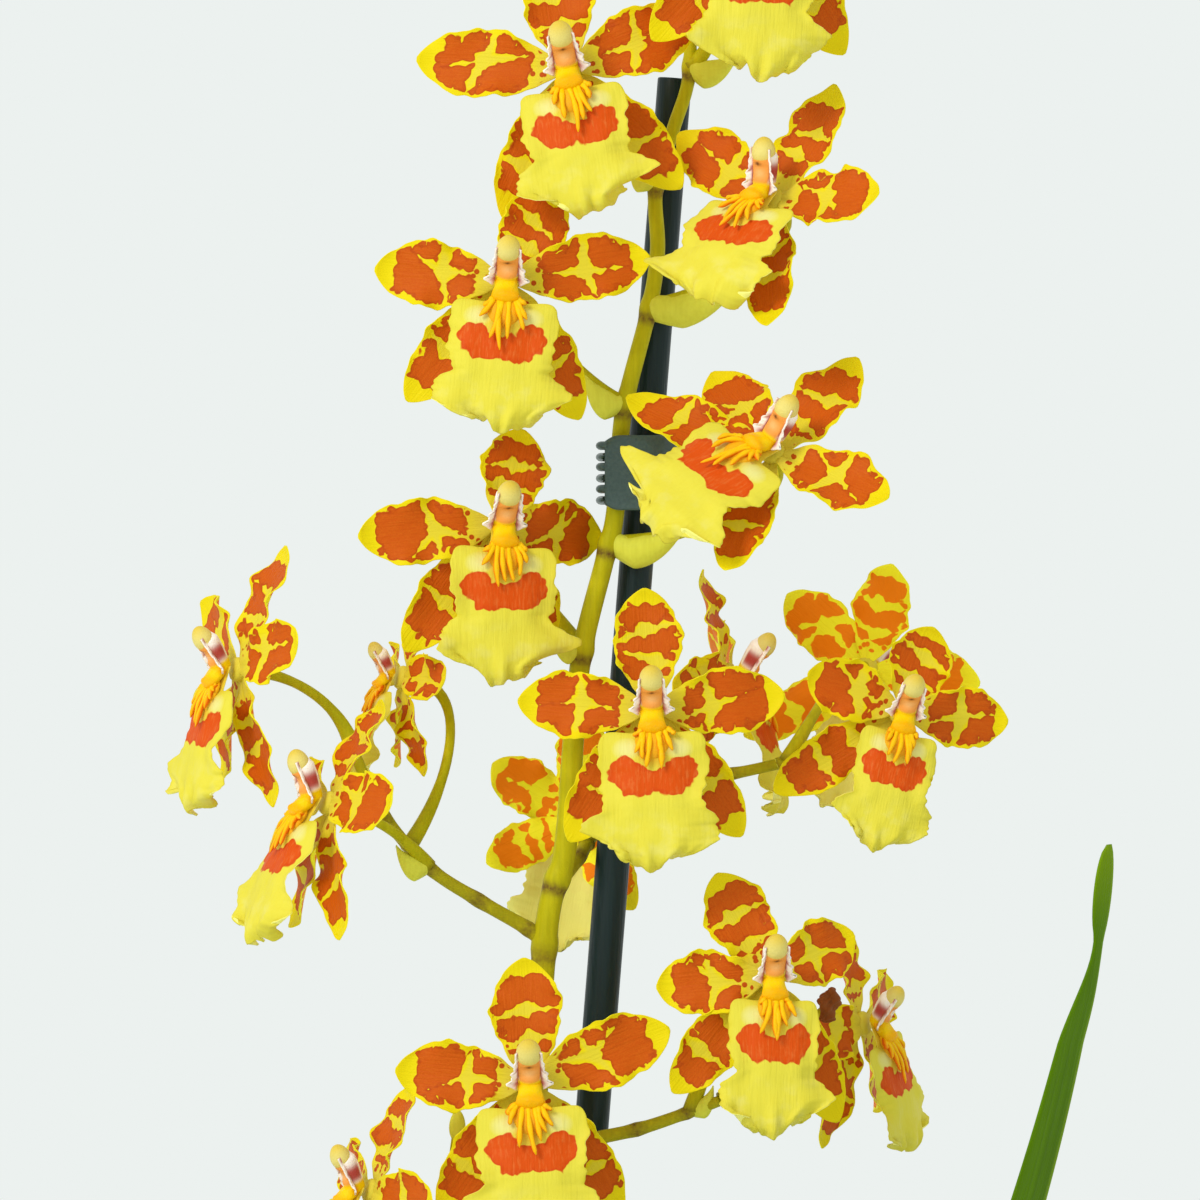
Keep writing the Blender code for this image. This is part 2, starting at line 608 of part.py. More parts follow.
def make_leaf(name, bulb, offset, middle, tip, width):
    """A strap leaf folded along its rib, standing on its bulb's top."""
    top = BULB_FOOT + BULB_HEIGHT + 1.2 * MM
    centre = BULBS[bulb][0]
    foot = Vector(((centre[0] + offset[0]) * MM, (centre[1] + offset[1]) * MM, top))
    middle = Vector(middle) * MM
    tip = Vector(tip) * MM
    outward = Vector((tip.x - foot.x, tip.y - foot.y, 0)).normalized()
    rise = foot + 80 * MM * UP + 22 * MM * outward
    bend = (middle - (foot + 3 * rise + tip) / 8) * 8 / 3
    side = outward.cross(UP)
    spine = bezier(foot, rise, bend, tip, LEAF_STATIONS)

    def place(u, v):
        point = spine[round(u * LEAF_STATIONS)]
        half = width / 2 * MM * max(0.06, math.sin(math.pi * (0.03 + 0.97 * u) ** 0.9) ** 0.55)
        return point + side * half * v - outward * LEAF_FOLD * half * abs(v)

    leaf = blade(place, LEAF_STATIONS, 2, LEAF_THICKNESS, leaf_look)
    leaf.name = name


def make_pot():
    """A turned pot: its profile runs up the inside, over the rim, down the outside and under."""
    inner_base = POT_BASE_RADIUS - POT_WALL
    inner_rim = POT_RIM_RADIUS - POT_WALL - RIM_LIP
    under_rim = POT_RIM_RADIUS - RIM_LIP
    rim_bottom = POT_HEIGHT - RIM_HEIGHT
    round_off = 1.5 * MM
    profile = [
        (0, POT_FLOOR), (inner_base, POT_FLOOR), (inner_rim, POT_HEIGHT - round_off),
        (inner_rim + round_off, POT_HEIGHT), (POT_RIM_RADIUS - round_off, POT_HEIGHT),
        (POT_RIM_RADIUS, POT_HEIGHT - round_off), (POT_RIM_RADIUS, rim_bottom),
        (under_rim, rim_bottom - round_off), (POT_BASE_RADIUS, 2 * MM), (POT_BASE_RADIUS - 2 * MM, 0), (0, 0),
    ]
    turned("pot", profile, 22, pot_look)


def turned(name, profile, steps, look):
    """A profile of radius and height turned about the pot's axis."""
    mesh = bpy.data.meshes.new(name)
    points = [(radius, 0, z) for radius, z in profile]
    mesh.from_pydata(points, [(i, i + 1) for i in range(len(points) - 1)], [])
    thing = add_object(name, mesh, look)
    spin = thing.modifiers.new("turn", "SCREW")
    spin.steps = steps
    spin.render_steps = steps
    spin.use_merge_vertices = True
    spin.merge_threshold = 1e-5
    return bake(thing, look)


def make_bark():
    """The bed of bark: one body with chips standing out of its top and holes for what stands in it."""
    slope = (POT_RIM_RADIUS - RIM_LIP - POT_BASE_RADIUS) / (POT_HEIGHT - 2 * MM - POT_FLOOR)
    low = POT_FLOOR + GAP
    low_radius = POT_BASE_RADIUS - POT_WALL - 2 * GAP
    top_radius = low_radius + slope * (BARK_TOP - low)
    bed = turned("bed", [(0, BARK_TOP), (top_radius, BARK_TOP), (low_radius, low), (0, low)], 16, bark_look)
    draw = random.Random(5)
    pieces = [bed]
    placed = []
    while len(placed) < BARK_CHIPS:
        spread = math.sqrt(draw.random()) * (top_radius / MM - RIM_CLEARANCE)
        angle = draw.uniform(0, 2 * math.pi)
        spot = Vector((spread * math.cos(angle), spread * math.sin(angle)))
        tips = [draw.uniform(-CHIP_TILT, CHIP_TILT) for axis in "xy"]
        tilt = Euler((*tips, draw.uniform(0, math.pi)))
        size = draw.uniform(0.6, 1)
        crowded = any((spot - other).length < CHIP_SPACING for other in placed)
        if crowded or any((spot - Vector(centre)).length < clear for centre, clear in CHIP_FREE):
            continue
        placed.append(spot)
        net = bmesh.new()
        bmesh.ops.create_cube(net, size=CHIP_LENGTH * size)
        place = Matrix.Translation(Vector((spot.x * MM, spot.y * MM, BARK_TOP + CHIP_RISE)))
        shape = place @ tilt.to_matrix().to_4x4() @ Matrix.Diagonal(CHIP_SHAPE)
        bmesh.ops.transform(net, matrix=shape, verts=net.verts)
        pieces.append(solid_from(net, bark_look))
    bed = join("bed", pieces, bark_look)
    cutters = [solid_from(bulb_net(centre, turn, GAP), bark_look) for centre, turn in BULBS]
    stem_foot = Vector(STEM_ROUTE[0]) * MM - 1 * MM * UP
    cutters.append(cone(stem_foot, stem_foot + HOLE_LENGTH * UP, STEM_HOLE, STEM_HOLE, 12, bark_look))
    lean = Vector((math.tan(STAKE_LEAN), 0, 1))
    low_end = STAKE_TOP - lean * (STAKE_TOP.z - STAKE_FOOT_Z + 1 * MM)
    cutters.append(cone(low_end, low_end + HOLE_LENGTH * lean, STAKE_HOLE, STAKE_HOLE, 12, bark_look))
    join("potting_bark", [bed, *cutters], bark_look, "DIFFERENCE")


def wall_along(route, bottom, top, look):
    """A thin upright wall that follows a route seen from above."""
    points = [Vector((x * MM, y * MM, 0)) for x, y in route]

    def place(u, v):
        spot = points[round(u * (len(points) - 1))]
        return spot + UP * (bottom + (top - bottom) * (v + 1) / 2)

    return blade(place, len(points) - 1, 1, CLIP_WALL, look)


def barrel(bottom, top, grow=0):
    """A cylinder round the hinge line, grown by a margin where it makes room for another."""
    foot = Vector((HINGE.x, HINGE.y, bottom - grow))
    radius = BARREL_RADIUS + grow
    return cone(foot, foot + UP * (top - bottom + 2 * grow), radius, radius, 8, clip_look)


def make_jaw(name, route, lever, levels, ears, room, tooth_sign):
    """A jaw: curved wall, three curling teeth, two ears round the pin and a finger lever."""
    pieces = [wall_along(route, CLIP_BOTTOM, CLIP_TOP, clip_look)]
    pieces.append(wall_along(lever, CLIP_BOTTOM + 3 * MM, CLIP_TOP - 3 * MM, clip_look))
    x, y = route[0]
    for level in levels:
        curl = [(x + 1, y), (x - 1.8, y + 2.6 * tooth_sign), (x - 1.2, y + 7 * tooth_sign)]
        pieces.append(tube([Vector((*point, level)) * MM for point in curl], TOOTH_RADII, clip_look, 0))
    pieces.extend(barrel(bottom, top) for bottom, top in ears)
    jaw = join(name + "_whole", pieces, clip_look)
    half_bore = (CLIP_TOP - CLIP_BOTTOM) * UP
    cutters = [cone(HINGE - half_bore, HINGE + half_bore, PIN_RADIUS + GAP, PIN_RADIUS + GAP, 8, clip_look)]
    cutters.extend(barrel(bottom, top, GAP) for bottom, top in room)
    return join(name, [jaw, *cutters], clip_look, "DIFFERENCE")


def make_clip():
    """Two jaws on one pin, with the coil of the spring between the back jaw's ears."""
    middle = (CLIP_BOTTOM + CLIP_TOP) / 2
    inner_bottom = CLIP_BOTTOM + EAR_HEIGHT + GAP
    inner_top = CLIP_TOP - EAR_HEIGHT - GAP
    front_ears = [(CLIP_BOTTOM, CLIP_BOTTOM + EAR_HEIGHT), (CLIP_TOP - EAR_HEIGHT, CLIP_TOP)]
    back_ears = [(inner_bottom, middle - SPRING_ROOM), (middle + SPRING_ROOM, inner_top)]
    spring_room = (middle - SPRING_ROOM, middle + SPRING_ROOM)
    make_jaw("clip_front_jaw", FRONT_JAW_ROUTE, FRONT_LEVER_ROUTE, FRONT_TOOTH_LEVELS, front_ears,
             [(inner_bottom, inner_top)], 1)
    make_jaw("clip_back_jaw", BACK_JAW_ROUTE, BACK_LEVER_ROUTE, BACK_TOOTH_LEVELS, back_ears,
             [*front_ears, spring_room], -1)
    low_end = Vector((HINGE.x, HINGE.y, CLIP_BOTTOM - PIN_END))
    high_end = Vector((HINGE.x, HINGE.y, CLIP_TOP + PIN_END))
    pin = cone(low_end, high_end, PIN_RADIUS, PIN_RADIUS, 8, steel_look)
    pin.name = "clip_pin"
    points = []
    steps = SPRING_TURNS * SPRING_STEPS
    for index in range(steps + 1):
        angle = 2 * math.pi * index / SPRING_STEPS + math.pi
        round_pin = Vector((math.cos(angle), math.sin(angle), 0)) * SPRING_RADIUS
        rise = (index / steps - 0.5) * SPRING_HEIGHT
        points.append(Vector((HINGE.x, HINGE.y, middle + rise)) + round_pin)
    spring = tube(points, [SPRING_WIRE] * len(points), steel_look, 0)
    spring.name = "clip_spring"


clear_scene()
plant = new_collection("oncidium_orchid")
tepal_look = material("tepal_yellow", (0.92, 0.62, 0.02), 0.45)
lip_look = material("lip_yellow", (0.90, 0.80, 0.14), 0.45)
stem_look = material("stem_olive", (0.30, 0.30, 0.05), 0.5)
bulb_look = material("bulb_green", (0.20, 0.36, 0.05), 0.5)
leaf_look = material("leaf_green", (0.10, 0.30, 0.01), 0.4)
stake_look = material("stake_green", (0.01, 0.03, 0.03), 0.4)
clip_look = material("clip_green", (0.08, 0.14, 0.14), 0.4)
steel_look = material("spring_steel", (0.5, 0.5, 0.5), 0.3, 1.0)
bark_look = material("bark_brown", (0.16, 0.07, 0.03), 0.9)
pot_look = material("pot_glaze", (0.75, 0.74, 0.70), 0.35)

draw = random.Random(11)
for name, centre, angles, size, foot, lead in BLOOMS:
    make_bloom(name, centre, angles, size, draw)
make_stem()
make_stake()
make_clip()
make_bulbs()
for leaf in LEAVES:
    make_leaf(*leaf)
make_pot()
make_bark()
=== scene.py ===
# %% [markdown]
# # A potted oncidium orchid
# This lesson dresses a plain, faceted plant with its real surfaces. The plain plant was packed
# first, and it holds the sizes and the moving parts. Every piece made here takes the place of one
# of its nodes, keeps that node's form, and rides on the same body.
# All lengths in the tables are millimetres, because a petal is easier to think of that way.

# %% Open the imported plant
import math
import random

import bpy
import numpy as np
from mathutils import Euler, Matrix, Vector


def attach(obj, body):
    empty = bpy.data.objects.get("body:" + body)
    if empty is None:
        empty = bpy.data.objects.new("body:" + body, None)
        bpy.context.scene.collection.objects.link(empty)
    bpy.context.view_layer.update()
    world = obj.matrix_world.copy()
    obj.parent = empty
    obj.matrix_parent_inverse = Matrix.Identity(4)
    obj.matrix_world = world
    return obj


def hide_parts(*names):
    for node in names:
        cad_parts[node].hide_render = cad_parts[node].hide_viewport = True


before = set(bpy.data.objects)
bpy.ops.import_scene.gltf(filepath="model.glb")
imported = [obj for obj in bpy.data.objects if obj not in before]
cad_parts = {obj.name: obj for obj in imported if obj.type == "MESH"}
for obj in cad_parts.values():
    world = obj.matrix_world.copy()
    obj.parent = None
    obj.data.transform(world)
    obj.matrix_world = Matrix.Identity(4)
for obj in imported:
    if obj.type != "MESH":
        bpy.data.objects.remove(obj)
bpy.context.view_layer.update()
MM = 0.001

# %% [markdown]
# ## Triangles from a grid
# Almost every piece is a grid of points worked out by a formula: one number runs along the piece
# and one across it. A helper joins the grid's points into triangles. A second one gives a sheet two
# faces and a rim, because a real petal has a thickness and a closed mesh shades well on both sides.
# A third one carries a ring along a path, for stems and wires.


# %% Grids, sheets and tubes
def grid_triangles(rows, columns, wrapped=False):
    """Two triangles for each cell of a grid, turned so that they face along-cross-across."""
    index = np.arange(rows * columns).reshape(rows, columns)
    if wrapped:
        index = np.concatenate([index, index[:, :1]], axis=1)
    a, b, c, d = index[:-1, :-1], index[1:, :-1], index[1:, 1:], index[:-1, 1:]
    return np.concatenate([np.stack([a, b, c], -1).reshape(-1, 3), np.stack([a, c, d], -1).reshape(-1, 3)])


def unit(vectors):
    """Each vector divided by its own length."""
    return vectors / np.maximum(np.linalg.norm(vectors, axis=-1, keepdims=True), 1e-12)


def surface_normals(points):
    """The cross product of the two directions of a grid, at each of its points."""
    return unit(np.cross(np.gradient(points, axis=0), np.gradient(points, axis=1)))


def rim_order(rows, columns):
    """The points round a grid's edge, clockwise as its front sees them."""
    index = np.arange(rows * columns).reshape(rows, columns)
    return np.concatenate([index[0], index[1:, -1], index[-1, -2::-1], index[-2:0:-1, 0]])


class Skin:
    """Points, triangles and named values of a piece, gathered from several closed surfaces."""

    def __init__(self):
        """Starts with no points, triangles or values."""
        self.points = []
        self.triangles = []
        self.values = {}
        self.count = 0

    def add(self, points, triangles, **values):
        """Adds one closed surface, with a value or a vector of values at each point."""
        points = np.asarray(points, float).reshape(-1, 3)
        self.points.append(points)
        self.triangles.append(triangles + self.count)
        for name, value in values.items():
            self.values.setdefault(name, []).append((self.count, np.asarray(value, float)))
        self.count += len(points)

    def sheet(self, points, thickness, **values):
        """A sheet of some thickness round a grid: two faces and the rim that closes them."""
        rows, columns = points.shape[:2]
        shift = surface_normals(points) * np.asarray(thickness)[..., None] / 2
        front, back = points + shift, points - shift
        size = rows * columns
        faces = grid_triangles(rows, columns)
        rim = rim_order(rows, columns)
        after = np.roll(rim, -1)
        strip = np.concatenate([np.stack([rim, after, after + size], -1),
                                np.stack([rim, after + size, rim + size], -1)])
        triangles = np.concatenate([faces, faces[:, ::-1] + size, strip])
        doubled = {name: np.concatenate([np.asarray(value).reshape(size, -1)] * 2)
                   for name, value in values.items()}
        side = np.repeat([1.0, 0.0], size)
        both = np.concatenate([front.reshape(-1, 3), back.reshape(-1, 3)])
        self.add(both, triangles, side=side, **doubled)

    def tube(self, path, radii, sides, reference=(0, 1, 0), relief=1.0, **values):
        """A ring of sides points carried along a path, closed by a point at either end.

        The radii are one number a ring, or two: towards the reference direction and across it. The
        relief multiplies them point by point.
        """
        path = np.asarray(path, float)
        radii = np.asarray(radii, float)
        if radii.ndim == 1:
            radii = np.stack([radii, radii], -1)
        tangent = unit(np.gradient(path, axis=0))
        normal = carried_normals(tangent, np.asarray(reference, float))
        across = np.cross(tangent, normal)
        angle = np.arange(sides) * 2 * math.pi / sides
        ring = (radii[:, :1, None] * np.cos(angle)[None, :, None] * normal[:, None, :]
                + radii[:, 1:, None] * np.sin(angle)[None, :, None] * across[:, None, :])
        rings = path[:, None, :] + ring * np.broadcast_to(relief, (len(path), sides))[..., None]
        self.rings(rings, path[0], path[-1], **values)

    def rings(self, rings, first, last, **values):
        """Rings joined into a wall, and closed by a point at either end.

        Each ring turns right-handed about the way the rings go, and the wall then faces outwards.
        """
        rows, sides = rings.shape[:2]
        here = np.arange(sides)
        after = np.roll(here, -1)
        start = np.stack([np.full(sides, rows * sides), after, here], -1)
        end = np.stack([np.full(sides, rows * sides + 1), here + (rows - 1) * sides,
                        after + (rows - 1) * sides], -1)
        spread = {}
        for name, value in values.items():
            value = np.asarray(value, float)
            if value.shape[:2] != (rows, sides):
                value = np.repeat(value[:, None], sides, axis=1)
            flat = value.reshape(rows * sides, -1)
            spread[name] = np.concatenate([flat, flat[:1], flat[-1:]])
        walls = grid_triangles(rows, sides, wrapped=True)[:, ::-1]
        self.add(np.concatenate([rings.reshape(-1, 3), [first], [last]]), np.concatenate([walls, start, end]),
                 **spread)


def carried_normals(tangent, reference):
    """A direction square to each tangent, carried from ring to ring so that the tube never twists."""
    if abs(tangent[0] @ reference) > 0.95 * np.linalg.norm(reference):
        reference = reference[[1, 2, 0]]
    normals = []
    for direction in tangent:
        reference = reference - direction * (reference @ direction)
        reference = reference / np.linalg.norm(reference)
        normals.append(reference)
    return np.array(normals)


def make_piece(name, skin, look, replaced=(), body="plant"):
    """Puts a skin into a mesh object, in metres, rides it on its body and hides the nodes that it replaces.
    """
    points = np.concatenate(skin.points) * MM
    triangles = np.concatenate(skin.triangles)
    mesh = bpy.data.meshes.new(name)
    mesh.vertices.add(len(points))
    mesh.vertices.foreach_set("co", points.ravel())
    mesh.loops.add(triangles.size)
    mesh.loops.foreach_set("vertex_index", triangles.ravel().astype(np.int32))
    mesh.polygons.add(len(triangles))
    mesh.polygons.foreach_set("loop_start", np.arange(len(triangles), dtype=np.int32) * 3)
    mesh.update(calc_edges=True)
    mesh.shade_smooth()
    for label, stretches in skin.values.items():
        width = stretches[0][1].reshape(len(stretches[0][1]), -1).shape[1]
        whole = np.zeros((len(points), width))
        for start, value in stretches:
            value = value.reshape(-1, width)
            whole[start:start + len(value)] = value
        kind, field = {1: ("FLOAT", "value"), 3: ("FLOAT_VECTOR", "vector")}[width]
        attribute = mesh.attributes.new(label, kind, "POINT")
        attribute.data.foreach_set(field, whole.astype(np.float32).ravel())
    mesh.materials.append(look.material)
    piece = bpy.data.objects.new(name, mesh)
    bpy.context.scene.collection.objects.link(piece)
    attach(piece, body)
    if replaced:
        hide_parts(*replaced)
    return piece


# %% [markdown]
# ## Shader sums in plain Python
# A shader is a net of nodes. Wiring each one by hand hides the sum behind it, so a small class
# wraps a socket and lets Python's own signs add the Math nodes. Colours are blended by a Mix node,
# because a Math node would turn them grey.


# %% Sockets that can be added and multiplied
class Wire:
    """One output of a shader node."""

    def __init__(self, look, socket):
        """Keeps the output's socket and the look that it belongs to."""
        self.look = look
        self.socket = socket

    def math(self, operation, other, swapped=False):
        """Adds a Math node on this wire and another value; swapped puts the other value first."""
        first, second = (other, self) if swapped else (self, other)
        return self.look.node("ShaderNodeMath", {"operation": operation}, {0: first, 1: second})

    # Each sign and each named method below adds the one Math node of that name
    def __add__(self, other):
        return self.math("ADD", other)

    def __radd__(self, other):
        return self.math("ADD", other, True)

    def __sub__(self, other):
        return self.math("SUBTRACT", other)

    def __rsub__(self, other):
        return self.math("SUBTRACT", other, True)

    def __mul__(self, other):
        return self.math("MULTIPLY", other)

    def __rmul__(self, other):
        return self.math("MULTIPLY", other, True)

    def __truediv__(self, other):
        return self.math("DIVIDE", other)

    def __pow__(self, other):
        return self.math("POWER", other)

    def minimum(self, other):
        return self.math("MINIMUM", other)

    def maximum(self, other):
        return self.math("MAXIMUM", other)

    def size(self):
        """The value without its minus sign."""
        return self.math("ABSOLUTE", 0)

    def step(self, low, high):
        """0 below low, 1 above high, and a smooth ramp between them."""
        return self.look.node("ShaderNodeMapRange", {"interpolation_type": "SMOOTHSTEP"},
                              {0: self, 1: low, 2: high, 3: 0.0, 4: 1.0})


class Look:
    """A Principled material, with one method that adds any node."""

    def __init__(self, name, roughness=0.5, metallic=0.0, shine=0.5):
        """Makes the material and sets its roughness, its share of metal and its shine."""
        self.material = bpy.data.materials.new(name)
        self.material.use_nodes = True
        self.tree = self.material.node_tree
        self.shader = self.tree.nodes["Principled BSDF"]
        self.feed("Roughness", roughness)
        self.feed("Metallic", metallic)
        self.feed("Specular IOR Level", shine)

    def put(self, socket, value):
        """Links a wire to a socket, or sets the socket to a number, vector or colour."""
        if isinstance(value, Wire):
            self.tree.links.new(value.socket, socket)
        elif isinstance(value, tuple) and len(value) == 3 and len(socket.default_value) == 4:
            socket.default_value = (*value, 1)
        else:
            socket.default_value = value

    def feed(self, name, value):
        """Puts a value or a wire into an input of the Principled shader."""
        self.put(self.shader.inputs[name], value)

    def node(self, kind, settings=None, inputs=None, output=0):
        """Adds a node, its settings first, then the values or links of its sockets."""
        made = self.tree.nodes.new(kind)
        for name, value in (settings or {}).items():
            setattr(made, name, value)
        for key, value in (inputs or {}).items():
            self.put(made.inputs[key], value)
        return Wire(self, made.outputs[output])

    def parts(self, name):
        """The three numbers of a vector value of the mesh."""
        vector = self.node("ShaderNodeAttribute", {"attribute_name": name}, output="Vector")
        return [self.node("ShaderNodeSeparateXYZ", inputs={0: vector}, output=axis) for axis in range(3)]

    def number(self, name):
        """The single value that the mesh holds at each point under a name."""
        return self.node("ShaderNodeAttribute", {"attribute_name": name}, output="Fac")

    def join(self, x, y, z):
        """Three numbers joined into one vector."""
        return self.node("ShaderNodeCombineXYZ", inputs={0: x, 1: y, 2: z})

    def object_place(self):
        """Each point's place on its own object, in metres."""
        return self.node("ShaderNodeTexCoord", output="Object")

    def noise(self, place, scale, detail=2.0, roughness=0.5):
        """Smooth noise from about -1 to 1."""
        raw = self.node("ShaderNodeTexNoise", {}, {"Vector": place, "Scale": scale, "Detail": detail,
                                                   "Roughness": roughness}, output="Fac")
        return (raw - 0.5) * 2.6

    def cells(self, place, scale, feature="DISTANCE_TO_EDGE", randomness=1.0):
        """The distance to the edge of a cell, or to its middle, in a Voronoi pattern."""
        return self.node("ShaderNodeTexVoronoi", {"feature": feature, "voronoi_dimensions": "2D"},
                         {"Vector": place, "Scale": scale, "Randomness": randomness}, output="Distance")

    def mix(self, factor, first, second):
        """A blend of two colours."""
        return self.node("ShaderNodeMix", {"data_type": "RGBA"}, {0: factor, 6: first, 7: second}, output=2)

    def bump(self, height, depth, strength=1.0):
        """Turns a height into a Normal; the depth is in metres."""
        made = self.node("ShaderNodeBump", {}, {"Strength": strength, "Distance": depth, "Height": height})
        self.feed("Normal", made)


PAINT_SHARE = 0.80


def colour(red, green, blue, share=PAINT_SHARE):
    """A colour as seen on screen, from 0 to 255, turned into the linear numbers that shaders use.

    A share below 1 leaves room for the lamp's light on top of the room's.
    """
    steps = np.array([red, green, blue]) / 255
    linear = np.where(steps <= 0.04045, steps / 12.92, ((steps + 0.055) / 1.055) ** 2.4)
    return tuple(float(value) * share for value in linear)


# %% [markdown]
# ## Sepals and petals
# An oncidium bloom has three sepals and two petals, all thin, crisped at the edge and blotched with
# rust. On the real plant the blotches have scalloped borders and thin yellow lines between them.
# They could be painted on an image, but a formula stays sharp at any distance and differs from
# petal to petal. The yellow lines are the arms of a star on a petal and two bands on a sepal, and
# yellow wedges run in from the margin between the blotches.

# %% The colours and pattern of the sepals and petals
YELLOW = colour(250, 226, 4)
PALE_YELLOW = colour(236, 216, 74)
RUST = colour(214, 90, 4)
DARK_RUST = colour(178, 58, 4)
LIGHT_RUST = colour(234, 120, 22)
# The backs are a paler yellow and rust at the full share. That extra brightness is painted light shining
# through the thin petals.
BACK_YELLOW_WITH_PAINTED_BACKLIGHT = colour(255, 246, 40, share=1)
BACK_RUST_WITH_PAINTED_BACKLIGHT = colour(255, 128, 4, share=1)

tepal_look = Look("petal_yellow_and_rust", 0.55, shine=0.1)


def arm_distance(look, name):
    """How far a point is from a yellow arm, in mm: the arm starts broad at its foot and thins out.

    The mesh gives mm along the arm, mm beside it and half the arm's width at its foot. The distance
    to the arm's line is the root of two squares. The swell round its foot, and a width that falls
    evenly along the arm, are taken away from it.
    """
    along, beside, width = look.parts(name)
    before = along.minimum(0)
    far = (beside * beside + before * before) ** 0.5
    swell = (0.75 - along.size() * 0.34).maximum(0)
    return far - swell - width * (1 - along.maximum(0) / (width * 5.5 + 3.5))


def paint_tepals(look):
    """Rust where the nearest arm, notch, margin, tip and foot are all further off than nought.

    The notches are the edges of cells strung along the length, and they widen towards the margin.
    Small round cells are added to that distance, which scallops every border. The mesh gives place
    (mm along, mm across, a seed) and form (0 at the foot to 1 at the tip, mm from the margin).
    """
    along, across, seed = look.parts("place")
    u, margin = look.parts("form")[:2]
    at = look.join(along, across, seed)
    broad = look.noise(at, 0.16, 2.0)
    line = arm_distance(look, "arm_1").minimum(arm_distance(look, "arm_2"))
    line = line.minimum(arm_distance(look, "arm_3")).minimum(arm_distance(look, "arm_4"))
    bent = along + seed + broad * 2.2 + across * 0.12
    notch = look.cells(look.join(bent, 0.0, 0.0), 0.27, randomness=0.7) * 3.7
    inside = margin - 2.6 - broad * 1.5
    line = line.minimum(notch + inside.maximum(0) * 1.5 + inside.minimum(0) * 0.30 + 0.42)
    lobes = (0.50 - look.cells(look.join(along + seed, across, 0.0), 0.42, "F1")) * 1.45
    edge = margin - 0.9 - broad * 0.5
    tip = (0.85 + broad * 0.05 - u) * 28
    foot = (u - 0.20) * 24
    field = (line + broad * 0.3 - 0.1).minimum(edge).minimum(tip).minimum(foot) + lobes
    dots = (0.24 - look.cells(look.join(along, across + seed, 0.0), 0.36, "F1")) * 2.2
    dots = dots - (0.10 - u).maximum(0) * 30 - (u - 0.24).maximum(0) * 12
    field = field.maximum(dots.minimum(margin - 0.5))
    rust = field.step(-0.08, 0.12)
    rim = 1 - field.step(0.1, 0.9)
    speck = look.noise(at, 2.6, 3.0, 0.7)
    streak = look.noise(look.join(along * 0.35, across * 2.2, seed), 1.0, 2.0)
    brown = look.mix((rim * 0.6).minimum(1), RUST, DARK_RUST)
    brown = look.mix((speck * 0.38 + streak * 0.22 + 0.12).maximum(0).minimum(1), brown, LIGHT_RUST)
    paleness = (1 - line.step(-0.9, 0.3)) * margin.step(1.0, 3.0) * 0.5
    ground = look.mix(paleness.minimum(1), YELLOW, PALE_YELLOW)
    ground = look.mix((1 - u.step(0.04, 0.30)) * 0.85, ground, PALE_YELLOW)
    front = look.mix(rust, ground, brown)
    # The back face has its own paler colours, brightened as painted light shining through the petal.
    behind_with_painted_backlight = look.mix(rust * 0.95, look.mix(0.9, ground, BACK_YELLOW_WITH_PAINTED_BACKLIGHT), look.mix(0.85, brown, BACK_RUST_WITH_PAINTED_BACKLIGHT))
    look.feed("Base Color", look.mix(look.number("side"), front, behind_with_painted_backlight))
    veins = look.noise(look.join(along * 0.12, across * 1.6, seed), 1.0, 2.0)
    look.bump(veins + speck * 0.25, 0.00014, 0.6)


paint_tepals(tepal_look)
print("petal shader nodes:", len(tepal_look.tree.nodes))

# %% [markdown]
# The shape is worked out flat first: a foot, a width that swells past the middle and a pointed end.
# Then the sheet is bent: cupped across, waved along its edges, hooked at the tip. The tables below
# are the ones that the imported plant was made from, so every petal lands where its solid is.

# %% The tables of blooms, sepals and petals
BLOOMS = [
    ("bloom_01", (11.6, -22, 690.5), (-4, 4, -9), 1.04),
    ("bloom_02", (57.5, -29, 726), (8, 4, 4), 1.02),
    ("bloom_03", (59.5, -26, 660), (-36, 32, 10), 1.00),
    ("bloom_04", (-3, -28, 640), (0, 2, 4), 1.00),
    ("bloom_05", (60, -30, 600), (-16, 38, 44), 1.00),
    ("bloom_06", (-4.5, -9, 582), (12, 2, 2), 1.00),
    ("bloom_07", (31.5, -27, 538), (0, 2, -1), 1.00),
    ("bloom_08", (91.5, -12, 537), (10, 0, 10), 0.93),
    ("bloom_09", (52, 23, 546), (78, 6, -12), 0.92),
    ("bloom_10", (13, 36, 511), (168, -6, -10), 0.84),
    ("bloom_11", (-69, -8, 547.5), (-66, 6, 4), 0.92),
    ("bloom_12", (-30, 17, 545.5), (-72, 12, 4), 0.70),
    ("bloom_13", (-47, -22, 516), (-68, 18, 4), 0.97),
    ("bloom_14", (2.5, -27, 449), (0, 2, -2), 1.03),
    ("bloom_15", (60, -22, 474), (10, 4, -3), 0.98),
    ("bloom_16", (84, 14, 462), (66, 4, -14), 0.86),
    ("bloom_17", (-37, -12, 423), (-66, 12, 10), 0.92),
    ("bloom_18", (84.5, 43, 547), (160, -8, -16), 0.90),
    ("bloom_19", (0, -6, 754), (-10, 0, -6), 0.92),
]

TEPALS = {
    "dorsal": (0, 29, 16.5, 3, 2.6),
    "petal_right": (83, 34, 16, 5, 1.3),
    "sepal_right": (145, 37, 14, 7, 2.6),
    "sepal_left": (215, 37, 14, 7, 3.5),
    "petal_left": (277, 34, 16, 5, 1.3),
}

